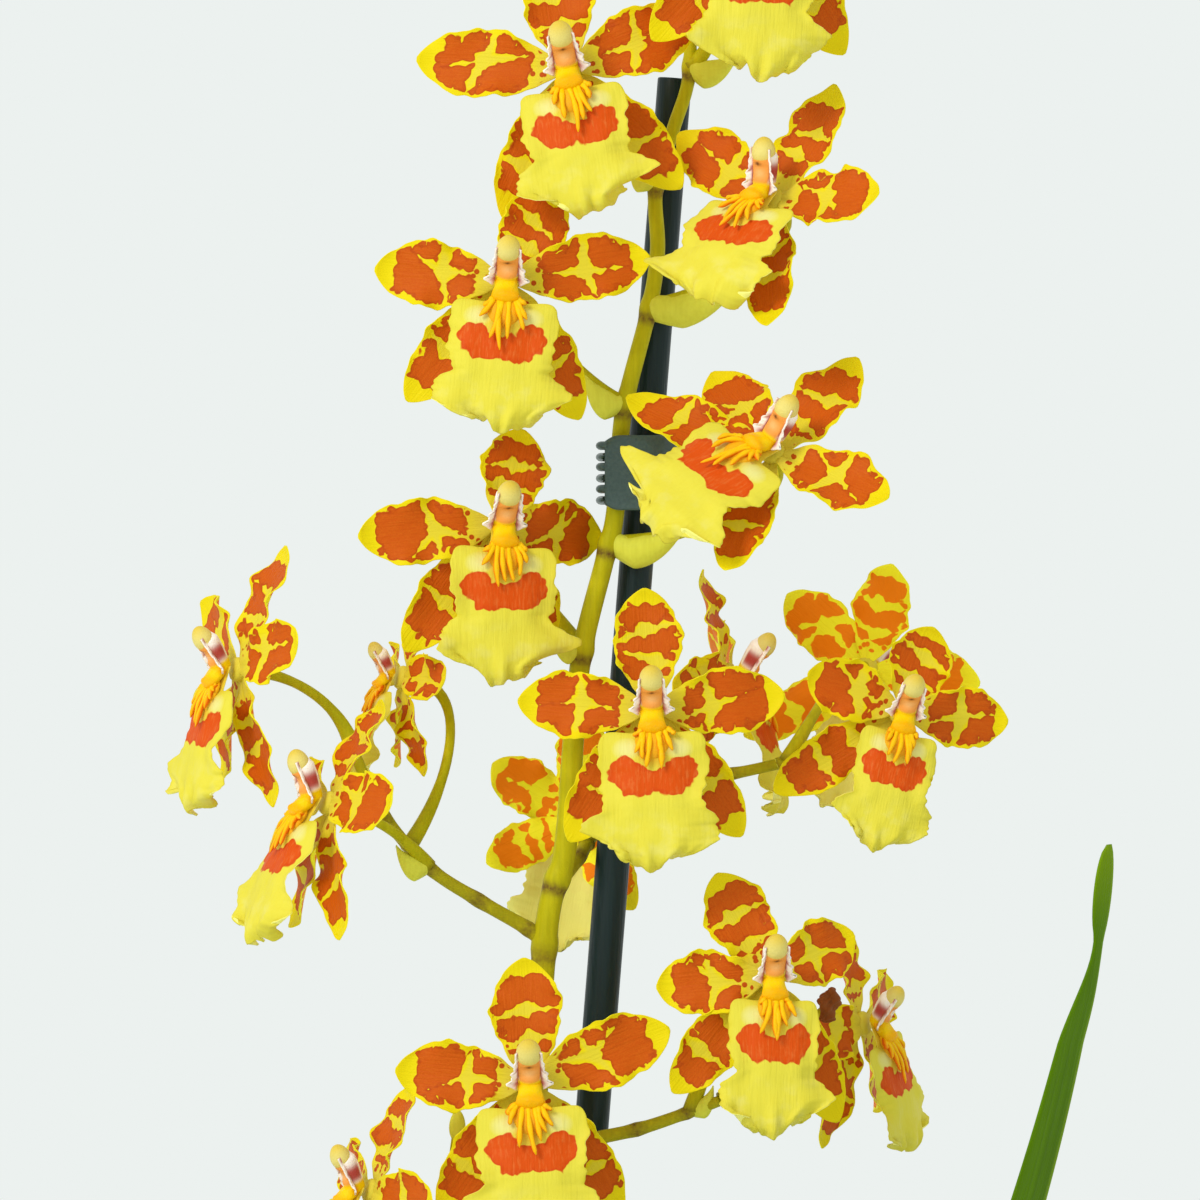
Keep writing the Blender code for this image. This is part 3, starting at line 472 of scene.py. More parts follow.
TEPAL_CHANGES = {
    ("bloom_01", "petal_left"): (6, 1.04, 0),
    ("bloom_01", "petal_right"): (-9, 0.94, 0),
    ("bloom_03", "dorsal"): (6, 1.10, -6),
    ("bloom_03", "petal_left"): (10, 0.94, -11),
    ("bloom_03", "petal_right"): (0, 0.96, -6),
    ("bloom_03", "sepal_right"): (10, 1, -6),
    ("bloom_03", "sepal_left"): (10, 0.66, 2),
    ("bloom_04", "dorsal"): (22, 0.86, 0),
    ("bloom_04", "petal_right"): (-5, 1.02, 0),
    ("bloom_04", "petal_left"): (-4, 0.93, 0),
    ("bloom_05", "dorsal"): (-12, 1.08, -6),
    ("bloom_05", "petal_right"): (-12, 1.04, -6),
    ("bloom_05", "sepal_right"): (-2, 0.96, -6),
    ("bloom_05", "sepal_left"): (34, 1.08, -12),
    ("bloom_06", "dorsal"): (16, 0.84, 4),
    ("bloom_06", "petal_right"): (10, 0.80, 6),
    ("bloom_06", "petal_left"): (-15, 1, 0),
    ("bloom_06", "sepal_right"): (10, 0.84, -3),
    ("bloom_07", "petal_right"): (0, 0.94, 0),
    ("bloom_07", "petal_left"): (0, 0.94, 0),
    ("bloom_08", "dorsal"): (13, 0.82, 0),
    ("bloom_08", "petal_right"): (3, 0.85, 0),
    ("bloom_08", "petal_left"): (7, 0.77, -2),
    ("bloom_08", "sepal_left"): (10, 1.02, 0),
    ("bloom_08", "sepal_right"): (18, 0.76, 2),
    ("bloom_09", "petal_left"): (0, 0.80, 6),
    ("bloom_09", "petal_right"): (0, 0.90, 6),
    ("bloom_09", "sepal_left"): (-8, 0.56, 4),
    ("bloom_09", "sepal_right"): (8, 0.56, 4),
    ("bloom_10", "petal_right"): (-16, 0.82, 0),
    ("bloom_10", "sepal_right"): (-14, 0.74, 0),
    ("bloom_10", "sepal_left"): (10, 0.92, 0),
    ("bloom_11", "dorsal"): (6, 1.16, 5),
    ("bloom_11", "petal_left"): (22, 0.96, -4),
    ("bloom_11", "petal_right"): (-14, 0.92, 0),
    ("bloom_11", "sepal_right"): (8, 1.04, 0),
    ("bloom_13", "dorsal"): (0, 0.98, 2),
    ("bloom_14", "petal_right"): (-10, 1.02, 0),
    ("bloom_14", "petal_left"): (0, 0.92, 0),
    ("bloom_15", "dorsal"): (-20, 0.98, 0),
    ("bloom_15", "petal_right"): (-17, 0.74, 5),
    ("bloom_15", "petal_left"): (-7, 0.80, 2),
    ("bloom_15", "sepal_left"): (8, 0.97, 0),
    ("bloom_15", "sepal_right"): (14, 1.06, 0),
    ("bloom_16", "petal_left"): (0, 0.80, 4),
    ("bloom_18", "petal_right"): (-18, 0.88, 0),
    ("bloom_18", "sepal_right"): (-8, 1, 0),
}

TEPAL_FOOT = 2
TEPAL_ROWS = 46
TEPAL_COLUMNS = 17
PETAL_THICKNESS = 0.55
print("blooms:", len(BLOOMS))


# %% One sepal or petal
def tepal_half_width(u, width):
    """Half the width times a sine of the length, raised so that the foot is narrow and the end blunt."""
    swell = np.sin(math.pi * (0.05 + 0.95 * u) ** 1.26)
    return width / 2 * np.maximum(0.07, np.maximum(swell, 0) ** 0.62)


def draw_arms(reach, is_petal, wobble):
    """Where the yellow arms start, the way they point in degrees, and half their width.

    A petal's arms leave one star near its middle. A sepal has two bands, each made of two arms.
    """
    if is_petal:
        star = (reach * wobble.uniform(0.45, 0.56), wobble.uniform(-1.4, 1.4))
        turns = [(90, 26, 1.1, 1.9), (-90, 26, 1.1, 1.9), (180, 30, 0.7, 1.5), (0, 50, 0.5, 1.2)]
        return [(star, turn + wobble.uniform(-sway, sway), wobble.uniform(thin, thick))
                for turn, sway, thin, thick in turns]
    bands = [(reach * wobble.uniform(0.33, 0.42), wobble.uniform(-2, 2)),
             (reach * wobble.uniform(0.58, 0.67), wobble.uniform(-2, 2))]
    return [(band, turn + wobble.uniform(-22, 22), wobble.uniform(0.8, 1.5))
            for band in bands for turn in (90, -90)]


def add_tepal(skin, direction, reach, width, back, foot_depth, phase, is_petal, place_bloom, wobble):
    """A flat outline set out along its direction, then pushed back or forward by cup, wave and hook.

    The wave grows with the square of the distance from the rib, and a quicker, smaller wave crisps
    the very edge. The outline itself is uneven by a few hundredths of its width.
    """
    u, v = np.meshgrid(np.linspace(0, 1, TEPAL_ROWS), np.sin(np.linspace(-1, 1, TEPAL_COLUMNS) * math.pi / 2),
                       indexing="ij")
    one, two, three, four = [wobble.uniform(0, 2 * math.pi) for _ in range(4)]
    half = tepal_half_width(u, width)
    uneven = 0.05 * np.sin(13 * u + one + 2 * np.sign(v)) + 0.035 * np.sin(31 * u + two - np.sign(v))
    half = half * (1 + (uneven + 0.018 * np.sin(58 * u + four)) * np.sin(math.pi * u) ** 0.7)
    fade = v ** 2 * np.sin(math.pi * u)
    wave = 1.2 * fade * np.sin(5 * math.pi * u + phase + 0.9 * v)
    crisp = 0.50 * np.abs(v) ** 5 * np.sin(math.pi * u) ** 0.5 * np.sin(27 * u + three + 1.5 * v)
    rib = 0.30 * np.exp(-(v / 0.10) ** 2) * (1 - u)
    hook = 1.6 * np.clip((u - 0.84) / 0.16, 0, 1) ** 2
    depth = foot_depth + back * u ** 1.5 + wave + crisp - 1.6 * fade + rib - hook
    angle = math.radians(direction)
    out = np.array([math.sin(angle), 0, math.cos(angle)])
    side = np.array([math.cos(angle), 0, -math.sin(angle)])
    along = TEPAL_FOOT + (reach - TEPAL_FOOT) * u
    points = out * along[..., None] + side * (half * v)[..., None] + depth[..., None] * np.array([0, 1, 0])
    seed = wobble.uniform(0, 50)
    across = half * v
    arms = {}
    for number, ((start, level), turn, breadth) in enumerate(draw_arms(reach, is_petal, wobble), 1):
        cosine, sine = math.cos(math.radians(turn)), math.sin(math.radians(turn))
        forward, sideways = along - start, across - level
        beside = sideways * cosine - forward * sine
        arms[f"arm_{number}"] = np.stack([forward * cosine + sideways * sine, beside, 0 * u + breadth], -1)
    form = np.stack([u, half * (1 - np.abs(v)), 0 * u], -1)
    thickness = PETAL_THICKNESS * (1 - 0.6 * np.abs(v) ** 6) * (1.3 - 0.5 * u)
    place = np.stack([along, across, 0 * u + seed], -1)
    skin.sheet(place_bloom(points), thickness, place=place, form=form, **arms)


def bloom_place(centre, angles):
    """A function that turns points of a bloom facing the front into their place on the plant."""
    turn, tilt, lean = [math.radians(angle) for angle in angles]
    matrix = np.array(Euler((-tilt, lean, turn), "YXZ").to_matrix())
    return lambda points: points @ matrix.T + np.array(centre, float)


# %% [markdown]
# ## The lip
# The lip is the bloom's broad lemon apron. It starts narrow under the column, opens into two pointed
# shoulders, draws in at a waist and flares to a ruffled skirt. A rust mask lies across it. The
# outline is a table read from top to bottom; the folds are sines that grow towards the skirt's hem.

# %% The colours of the lip
LEMON = colour(243, 228, 72)
DEEP_LEMON = colour(236, 214, 36)
# Cream gives the pale clouds of the skirt and the painted highlight beside the callus.
CREAM = colour(248, 240, 150)
MASK = colour(232, 86, 8)
MASK_EDGE = colour(214, 62, 4)
MASK_STREAK = colour(244, 138, 66)
LIP_ORANGE = colour(250, 188, 30)
# The back of the lip is a paler lemon at the full share. Its extra brightness is painted light shining
# through it.
BACK_LEMON_WITH_PAINTED_BACKLIGHT = colour(255, 250, 140, share=1)

lip_look = Look("lip_lemon", 0.55, shine=0.1)


def paint_lip(look):
    """Lemon, with a moustache of rust: two round ends and a band between them, all with uneven borders.

    The vector place holds mm across, mm up and a seed; form holds 0 to 1 down the lip and mm from
    its margin. The back of the sheet has the same pattern under a pale lemon, brightened to the full
    share as painted light that shines through the thin lip.
    """
    x, z, seed = look.parts("place")
    u, margin = look.parts("form")[:2]
    at = look.join(x, z, seed)
    slow = look.noise(at, 0.22, 2.0)
    quick = look.noise(at, 1.1, 3.0, 0.6)
    side = x.size()
    beside = side - 6.6
    above = z + 15.2
    ends = 3.9 - (beside * beside + above * above) ** 0.5
    between = (3.4 - (z + 17.3).size()).minimum((17.4 + z) * 0.5 + 8.4 - side)
    between = between - (1 - side / 1.6).maximum(0) * 0.8
    lobes = (0.46 - look.cells(look.join(x + seed, z, 0.0), 0.42, "F1")) * 1.2
    field = ends.maximum(between) + lobes + slow * 0.45
    mask = field.step(-0.15, 0.25) * (0.25 + look.number("side") * 0.75)
    tone = look.mix((1 - field.step(0.1, 1.2)) * 0.5, MASK, MASK_EDGE)
    streak = look.noise(look.join(x * 1.7, z * 0.35, seed), 1.0, 3.0)
    tone = look.mix((streak * 0.65 + quick * 0.2).maximum(0).minimum(1), tone, MASK_STREAK)
    # Painted highlight: a cream patch on either side of the callus.
    pale_x = (side - 6.2) / 3.6
    pale_z = (z + 9.6) / 2.8
    pale = (1 - (pale_x * pale_x + pale_z * pale_z)).maximum(0)
    ground = look.mix(pale * 0.9, LEMON, CREAM)
    veins = look.noise(look.join(x * 1.5, z * 0.16, seed), 1.0, 2.0)
    deep = quick * 0.10 + slow * 0.22 + veins * 0.16 + (1 - margin.step(0.0, 1.4)) * 0.3
    ground = look.mix(deep.maximum(0).minimum(1), ground, DEEP_LEMON)
    ground = look.mix((slow * -0.5 + quick * 0.1).maximum(0).minimum(0.6) * u.step(0.55, 0.75), ground, CREAM)
    warm = (1 - side / 4.6).maximum(0).minimum(1) * (z + 14.5).step(-1.0, 3.5)
    ground = look.mix(warm * 0.85, ground, LIP_ORANGE)
    shown = look.mix(mask, ground, tone)
    # Behind: a pale lemon brightened as painted light shining through the lip. In front: the pattern.
    look.feed("Base Color", look.mix(look.number("side"), look.mix(0.85, shown, BACK_LEMON_WITH_PAINTED_BACKLIGHT), shown))
    look.bump(veins + quick * 0.25, 0.00013, 0.6)


paint_lip(lip_look)
print("lip shader nodes:", len(lip_look.tree.nodes))

# %% The lip's outline and its folds
# Each row: share of the way down, height, half the width and how far it stands forward (mm)
LIP_OUTLINE = np.array([
    (0, 1, 2.6, 1.4), (0.09, -4, 2.9, 2.9), (0.150, -6.2, 3.9, 3.9), (0.185, -7.0, 5.6, 4.3),
    (0.22, -7.8, 8.5, 4.6), (0.26, -8.9, 11.2, 4.9), (0.30, -10.3, 12.6, 5.3), (0.36, -12.8, 13.0, 5.9),
    (0.42, -15.7, 12.9, 6.5), (0.48, -18.6, 12.5, 7.2), (0.54, -21.2, 11.8, 7.7), (0.585, -23.0, 11.6, 7.9),
    (0.615, -24.4, 12.8, 7.8), (0.65, -26.0, 15.0, 7.6), (0.70, -28.0, 16.4, 7.6), (0.77, -30.6, 16.2, 7.7),
    (0.84, -33.0, 14.4, 7.4), (0.92, -35.2, 11.6, 6.9), (1, -36.4, 8.4, 6.6),
])
LIP_CHANGES = {
    "bloom_01": (0, 0.95, 0.90),
    "bloom_03": (-2, 1.08, 0.88),
    "bloom_04": (0, 1.00, 0.95),
    "bloom_05": (0, 1.12, 0.98),
    "bloom_08": (3, 0.80, 0.94),
    "bloom_15": (5, 0.86, 1.02),
}
LIP_CLEFTS = {
    "bloom_01": (1, 0.90, 2.5, 1.5),
    "bloom_05": (-1, 0.88, 7.5, 3.4),
    "bloom_06": (1, 0.89, 3.0, 2.0),
    "bloom_14": (-1, 0.89, 2.5, 1.0),
}
LIP_ROWS = 90
LIP_COLUMNS = 41
LIP_THICKNESS = 0.55


def lip_column(u, column):
    """One column of the outline's table at u, smoothed a little over its corners."""
    reach = 0.012
    return sum(np.interp(u + shift, LIP_OUTLINE[:, 0], LIP_OUTLINE[:, column])
               for shift in (-reach, 0, reach)) / 3


def add_lip(skin, phase, size, shape, cleft, place_bloom, wobble):
    """The outline stood forward of the bloom's centre, then folded.

    The shoulders rise at the corners, the middle is keeled towards the viewer, and the skirt's
    ruffle is a slow cosine across it with a quicker one along its hem. Small teeth edge the sides.
    The cleft gives the side that a bay cuts into, its place down the lip, its depth, and how far the
    lobe above it is drawn out.
    """
    even = np.linspace(-1, 1, LIP_COLUMNS)
    columns = np.sin(even * math.pi / 2) * 0.5 + even * 0.5
    u, v = np.meshgrid(np.linspace(0, 1, LIP_ROWS), columns, indexing="ij")
    one, two, three, four, five = [wobble.uniform(0, 2 * math.pi) for _ in range(5)]
    z, half, forward = [lip_column(u, column) for column in (1, 2, 3)]
    skirt = np.clip((u - 0.6) / 0.4, 0, 1)
    hem_zone = np.clip((u - 0.74) / 0.26, 0, 1)
    body = np.clip((u - 0.28) / 0.1, 0, 1)
    side = np.sign(v)
    teeth = 0.26 * np.sin(118 * u + one + side) + 0.30 * np.sin(67 * u + two)
    teeth = teeth + 0.40 * np.sin(29 * u + two + 2 * side)
    bays = 1.3 * np.sin(19 * u + five + 1.4 * side) * np.minimum(1, 2.5 * skirt)
    hand, level, deep, lobe = cleft
    bays = bays + (side == hand) * (lobe * np.exp(-((u - level + 0.14) / 0.07) ** 2)
                                    - deep * np.exp(-((u - level) / 0.06) ** 2))
    half = half + teeth * body * (1 - 0.5 * skirt) + bays
    shoulder = np.exp(-((u - 0.275) * 11) ** 2)
    middle = wobble.uniform(-0.30, 0.42)
    tongue = 2.1 * np.exp(-((v - middle) / 0.58) ** 2) - 1.7 * np.exp(-((v - middle + 0.60) / 0.10) ** 2)
    scallop = 0.7 * np.sin(7.5 * v + three) + 0.3 * np.sin(19 * v + four)
    rise = 3.4 * shoulder * np.abs(v) ** 4 + 3.0 * skirt * v ** 2 + hem_zone * (scallop - tongue)
    fold = 0.9 * skirt * (1 - np.abs(v)) + 0.6 * np.exp(-(v / 0.12) ** 2) * skirt
    ruffle = 2.6 * skirt * np.abs(v) ** 1.1 * np.cos(5.2 * v + phase + 2.5 * u)
    hem = 1.2 * hem_zone * np.sin(13 * v + four) + 0.5 * hem_zone * np.sin(24 * v + five)
    edge = 1.2 * np.abs(v) ** 4 * body * np.sin(17 * u + two + v)
    sag = 1.6 * v ** 2 * (1 - skirt) * np.minimum(1, 3 * u)
    crease = 0.5 * body * (1 - skirt) * np.sin(9 * v + one) * np.abs(v)
    callus = 1.3 * np.exp(-((u - 0.26) * 7) ** 2 - (v * 1.6) ** 2)
    curl = 2.2 * np.clip((u - 0.86) / 0.14, 0, 1) ** 2
    depth = -forward - fold - callus + sag + ruffle + hem + edge + curl + crease
    points = np.stack([half * v, depth, z + rise], -1) @ shape.T * size
    place = np.stack([half * v, z + rise, 0 * u + wobble.uniform(0, 50)], -1)
    form = np.stack([u, half * (1 - np.abs(v)), 0 * u], -1)
    thickness = LIP_THICKNESS * (1 - 0.6 * np.abs(v) ** 6)
    skin.sheet(place_bloom(points), thickness, place=place, form=form)


# %% [markdown]
# ## Callus and column
# Below the column a yellow block ends in a fan of orange fingers, which guide a visiting bee. Above
# it stands the column: a pale cap over a tan orange hollow, with a white toothed wing on either
# side. They are tubes and small sheets. Their colour is worked out point by point from named
# colours, because each area is only a few millimetres wide.

# %% The column's material
CAP = colour(242, 208, 74)
# The cap's lighter colour is a painted highlight round its widest part.
CAP_PAINTED_HIGHLIGHT = colour(250, 230, 130)
# WHITE_WING, HOLLOW, HOLLOW_LIGHT and the callus colours take a larger share than the rest: painted light
# that lifts the shade on the small column and callus.
WHITE_WING = colour(255, 244, 232, share=0.98)
HOLLOW = colour(246, 158, 66, share=0.92)
HOLLOW_LIGHT = colour(255, 196, 126, share=0.95)
HOLLOW_DARK = colour(92, 34, 10)
RED_STREAK = colour(190, 38, 26)
CALLUS = colour(255, 212, 0, share=0.92)
CALLUS_DEEP = colour(255, 182, 0, share=0.92)
# Orange on the fingers' flanks: partly the callus's own orange, partly painted shade between the fingers.
CALLUS_ORANGE_AND_PAINTED_SHADE = colour(244, 108, 6, share=0.92)

column_look = Look("column_and_callus", 0.45, shine=0.1)
column_tint = column_look.node("ShaderNodeAttribute", {"attribute_name": "tint"}, output="Color")
column_grain = column_look.noise(column_look.object_place(), 2600.0, 2.0)
COLUMN_GLINT = colour(255, 246, 214)
glint_share = (column_grain * 0.05).maximum(0)
column_look.feed("Base Color", column_look.mix(glint_share, column_tint, COLUMN_GLINT))
column_look.bump(column_grain, 0.00008, 0.7)
print("column shader nodes:", len(column_look.tree.nodes))

COLUMN_FOOT = np.array([0, -1.9, -0.9])
COLUMN_TOP = np.array([0, -10.2, 9.6])


def blend(first, second, amount):
    """A colour between two, at each point of an array of amounts from 0 to 1."""
    amount = np.clip(amount, 0, 1)[..., None]
    return np.array(first) * (1 - amount) + np.array(second) * amount


def straight(start, end, steps):
    """Evenly spaced points from start to end."""
    return np.array(start) + (np.array(end) - np.array(start)) * np.linspace(0, 1, steps)[:, None]


# %% The column, its cap and wings
COLUMN_SIDES = 28


def layer(tint, other, amount):
    """Another colour laid over a tint, by an amount at each point."""
    amount = np.clip(amount, 0, 1)[..., None]
    return tint * (1 - amount) + np.array(other) * amount


def add_column(skin, size, place_bloom):
    """Rings along a leaning axis, pressed in at the front below the cap; then the cap and two wings."""
    reach = COLUMN_TOP - COLUMN_FOOT
    axis = unit(reach)
    front = np.cross([1, 0, 0], axis)
    s = np.linspace(0, 0.84, 30)[:, None]
    angle = (np.arange(COLUMN_SIDES) * 2 * math.pi / COLUMN_SIDES)[None, :]
    facing, aside = np.cos(angle), np.abs(np.sin(angle))
    radius = np.interp(s, [0, 0.08, 0.26, 0.50, 0.72, 0.84], [1.6, 2.5, 2.8, 3.1, 3.0, 2.0])
    dish = np.exp(-((s - 0.45) / 0.13) ** 4 - (aside / 0.80) ** 4) * (facing > 0)
    ring = (radius * facing)[..., None] * front + (radius * np.sin(angle))[..., None] * np.array([1, 0, 0])
    ring = ring - (0.9 * dish)[..., None] * front
    path = COLUMN_FOOT + reach * s
    tint = np.ones((len(s), COLUMN_SIDES, 3)) * np.array(WHITE_WING)
    flank = np.exp(-((s - 0.44) / 0.17) ** 4) * np.clip((aside - 0.62) * 6, 0, 1) * (facing < 0.75)
    tint = layer(tint, RED_STREAK, 0.95 * flank)
    tint = layer(tint, HOLLOW, np.clip((0.93 - aside) * 8, 0, 1) * (facing > 0) * (s < 0.74))
    tint = layer(tint, CALLUS, (0.27 - s + 0 * angle) / 0.05)
    glow = 0.7 * np.exp(-((s - 0.42) / 0.08) ** 2 - (aside / 0.50) ** 2)
    pit = 1.5 * np.exp(-((s - 0.585) / 0.03) ** 2 - (aside / 0.20) ** 2)
    tint = layer(tint, HOLLOW_LIGHT, glow * (facing > 0))
    tint = layer(tint, HOLLOW_DARK, pit * (facing > 0))
    wall = place_bloom((path[:, None] + ring) * size)
    skin.rings(wall, place_bloom(path[0] * size), place_bloom(path[-1] * size), tint=tint)
    w = np.linspace(0, math.pi, 20)
    centre = COLUMN_FOOT + reach * 0.80 + front * 0.7
    egg = centre - np.cos(w)[:, None] * axis * 3.5
    girth = np.sin(w) * (1 + 0.08 * np.cos(w))
    # The cap is lighter round its middle: a painted highlight.
    skin.tube(place_bloom(egg * size), np.stack([girth * 2.7, girth * 2.9], -1) * size + 0.02, 20,
              reference=place_bloom(front) - place_bloom(0 * front),
              tint=blend(CAP, CAP_PAINTED_HIGHLIGHT, np.sin(w) ** 3))
    for hand in (-1, 1):
        add_wing(skin, hand, reach, front, size, place_bloom)


def add_wing(skin, hand, reach, front, size, place_bloom):
    """A sheet from the column's flank outwards, narrow above and toothed below by two sines."""
    p, q = np.meshgrid(np.linspace(0, 1, 30), np.linspace(0, 1, 8), indexing="ij")
    s = 0.86 - 0.70 * p
    width = 0.5 + 2.3 * p ** 2 + (0.50 * np.sin(24 * p) + 0.35 * np.sin(47 * p)) * p
    width = width * np.minimum(1, (1 - p) * 7 + 0.15)
    side = 2.5 + 0.3 * p + width * q
    lean = 1.5 - 0.6 * p + 0.8 * q
    droop = 1.6 * q * p
    points = (COLUMN_FOOT + reach * s[..., None] + np.array([hand, 0, 0]) * side[..., None]
              + front * lean[..., None] - unit(reach) * droop[..., None])
    streak = np.clip(np.sin(14 * p + 0.6) * 2.2 - 0.6, 0, 1) * np.clip(1.4 - 1.3 * q, 0, 1)
    streak = np.maximum(streak, np.exp(-((q - 0.02) / 0.22) ** 2) * (p > 0.25) * (p < 0.9))
    tint = blend(WHITE_WING, RED_STREAK, streak * 0.85)
    if hand < 0:
        points, tint = points[:, ::-1], tint[:, ::-1]
    skin.sheet(place_bloom(points * size), np.full(p.shape, 0.4), tint=tint)


# %% The callus and its fingers
# Each finger: where it starts across the lip (mm), its angle in degrees and its length (mm)
FINGERS = [
    (-2.7, -48, 3.4), (-2.6, -24, 6.0), (-1.6, -10, 9.6), (-0.5, -2, 12.2), (0.9, 5, 11.0), (1.9, 12, 8.6),
    (2.6, 26, 5.6), (2.7, 52, 3.0),
]


def add_callus(skin, size, shape, place_bloom, wobble):
    """A block, a pad that lies on the lip, and fingers that fan out over the pad and lift at the tip."""
    viewer = place_bloom(np.array([0, -1, 0])) - place_bloom(np.zeros(3))
    steps = np.linspace(0, 1, 14)
    block = straight((0, -2.4, 1.4), (0, -6.6, -5.6), 14)
    swell = np.interp(steps, [0, 0.08, 0.35, 0.6, 0.9, 1], [0.4, 2.5, 2.8, 2.9, 3.3, 0.8])
    block_tint = blend(CALLUS, CALLUS_DEEP, np.sin(9 * steps) * 0.5 + 0.5)
    lumps = 1 + 0.07 * np.sin(5 * np.arange(18) + 9 * steps[:, None])
    skin.tube(place_bloom(block @ shape.T * size), np.stack([swell * 0.66, swell], -1) * size, 18,
              reference=viewer, relief=lumps, tint=block_tint)
    w = np.linspace(0, math.pi, 14)
    z = -7.4 + 4.6 * np.cos(w)
    pad = np.stack([0 * w, -np.interp(-z, -LIP_OUTLINE[:, 1], LIP_OUTLINE[:, 3]) - 1.1, z], -1)
    pad_radii = np.stack([np.sin(w) * 1.3, np.sin(w) * 4.2], -1) * size + 0.02
    skin.tube(place_bloom(pad @ shape.T * size), pad_radii, 18, reference=viewer,
              tint=blend(CALLUS_DEEP, LIP_ORANGE, steps))
    for start, angle, length in FINGERS:
        turn = math.radians(angle + wobble.uniform(-9, 9))
        length = length * wobble.uniform(0.78, 1.14)
        bend = wobble.uniform(-1.0, 1.0)
        t = np.linspace(0, 1, 14)
        x = start + math.sin(turn) * length * t + bend * np.sin(math.pi * t)
        z = -4.4 - math.cos(turn) * length * t
        forward = np.interp(-z, -LIP_OUTLINE[:, 1], LIP_OUTLINE[:, 3])
        y = -forward - 1.8 - 0.6 * np.sin(math.pi * t) - 0.5 * t ** 3
        radius = 0.72 * (1 - 0.10 * t) * np.sqrt(np.clip(1 - t ** 8, 0.04, 1))
        radius = radius * (1 + 0.16 * np.sin(13 * t + 9 * bend))
        around = np.arange(10) * 2 * math.pi / 10
        # Each finger is yellow on its crest towards the viewer and orange on its flanks. The orange is partly
        # its own colour and partly painted shade between the fingers.
        crest = np.clip(np.cos(around)[None, :] * 1.8 - 0.15, 0, 1) * (1 - 0.35 * t[:, None])
        skin.tube(place_bloom(np.stack([x, y, z], -1) @ shape.T * size), radius * size, 10, reference=viewer,
                  tint=blend(CALLUS_ORANGE_AND_PAINTED_SHADE, CALLUS, crest))


# %% Build the nineteen blooms
def build_blooms():
    """Each bloom is three pieces: sepals and petals, lip, and the column with its callus.

    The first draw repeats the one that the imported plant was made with; the second adds what only
    the fine surface shows.
    """
    draw = random.Random(11)
    wobble = random.Random(23)
    for name, centre, angles, size in BLOOMS:
        place_bloom = bloom_place(centre, angles)
        tepals, lip, column = Skin(), Skin(), Skin()
        for part, (direction, reach, width, back, foot_depth) in TEPALS.items():
            turn, stretch, sweep = TEPAL_CHANGES.get((name, part), (0, 1, 0))
            turn += draw.uniform(-3, 3)
            phase = draw.uniform(0, 2 * math.pi)
            add_tepal(tepals, direction + turn, reach * stretch * size, width * size, back + sweep,
                      foot_depth, phase, part.startswith("petal"), place_bloom, wobble)
        back_end = place_bloom(straight((0, 0.4, 0), (0, 4.2, 0), 6))
        tepals.tube(back_end, np.array([2.6, 3.0, 3.0, 2.8, 2.4, 1.6]), 14, reference=(0, 0, 1))
        turn, wide, long = LIP_CHANGES.get(name, (0, 1, 1))
        spin = math.radians(turn)
        cosine, sine = math.cos(spin), math.sin(spin)
        shape = np.array([[cosine, 0, sine], [0, 1, 0], [-sine, 0, cosine]]) @ np.diag([wide, 1, long])
        cleft = LIP_CLEFTS.get(name, (0, 1, 0, 0))
        add_lip(lip, draw.uniform(-0.5, 0.5), size, shape, cleft, place_bloom, wobble)
        add_column(column, size, place_bloom)
        add_callus(column, size, shape, place_bloom, wobble)
        make_piece(name + "_sepals_and_petals", tepals, tepal_look, [name + "_tepals"])
        make_piece(name + "_lip_sheet", lip, lip_look, [name + "_lip"])
        make_piece(name + "_column", column, column_look)
    print("a bloom's triangles:", sum(len(t) for s in (tepals, lip, column) for t in s.triangles))


build_blooms()

# %% [markdown]
# ## Stem, branches and stalks
# One spike carries every bloom. It is olive green and swells a little at each node, where a thin
# dry bract once wrapped the bud. A stalk leaves each node, bends, and meets the back of its bloom.
# All of them are tubes carried along curves. A smooth curve through a few chosen points is worked
# out first, so the stem bends the way a growing one does.

# %% The colours of the stem
STEM_OLIVE = colour(214, 204, 22)
STEM_SHADE = colour(170, 164, 6)
NODE_BROWN = colour(112, 80, 40)
BRACT_PALE = colour(226, 226, 78, share=0.95)
WITHERED = colour(150, 84, 40)

stem_look = Look("stem_olive_and_bracts", 0.5, shine=0.08)


def paint_stem(look):
    """Olive with soft mottles, and streaks from noise that is drawn out along the height.

    The vector kind gives the share of node brown, of bract pale and of withered brown.
    """
    at = look.object_place()
    node, bract, withered = look.parts("kind")
    mottle = look.noise(at, 160.0, 3.0)
    fine = look.noise(at, 900.0, 3.0, 0.6)
    drawn = look.node("ShaderNodeMapping", inputs={"Vector": at, "Scale": (1.0, 1.0, 0.06)})
    streak = look.noise(drawn, 1100.0, 2.0)
    green = look.mix((mottle * 0.4 + streak * 0.35 + 0.35).maximum(0).minimum(1), STEM_OLIVE, STEM_SHADE)
    green = look.mix((node * 0.8 + fine * node * 0.6).maximum(0).minimum(1), green, NODE_BROWN)
    green = look.mix(bract * (0.86 + mottle * 0.15 - streak * 0.18).minimum(1), green, BRACT_PALE)
    look.feed("Base Color", look.mix(withered, green, WITHERED))
    look.bump(fine, 0.0001, 0.5)


paint_stem(stem_look)
print("stem shader nodes:", len(stem_look.tree.nodes))

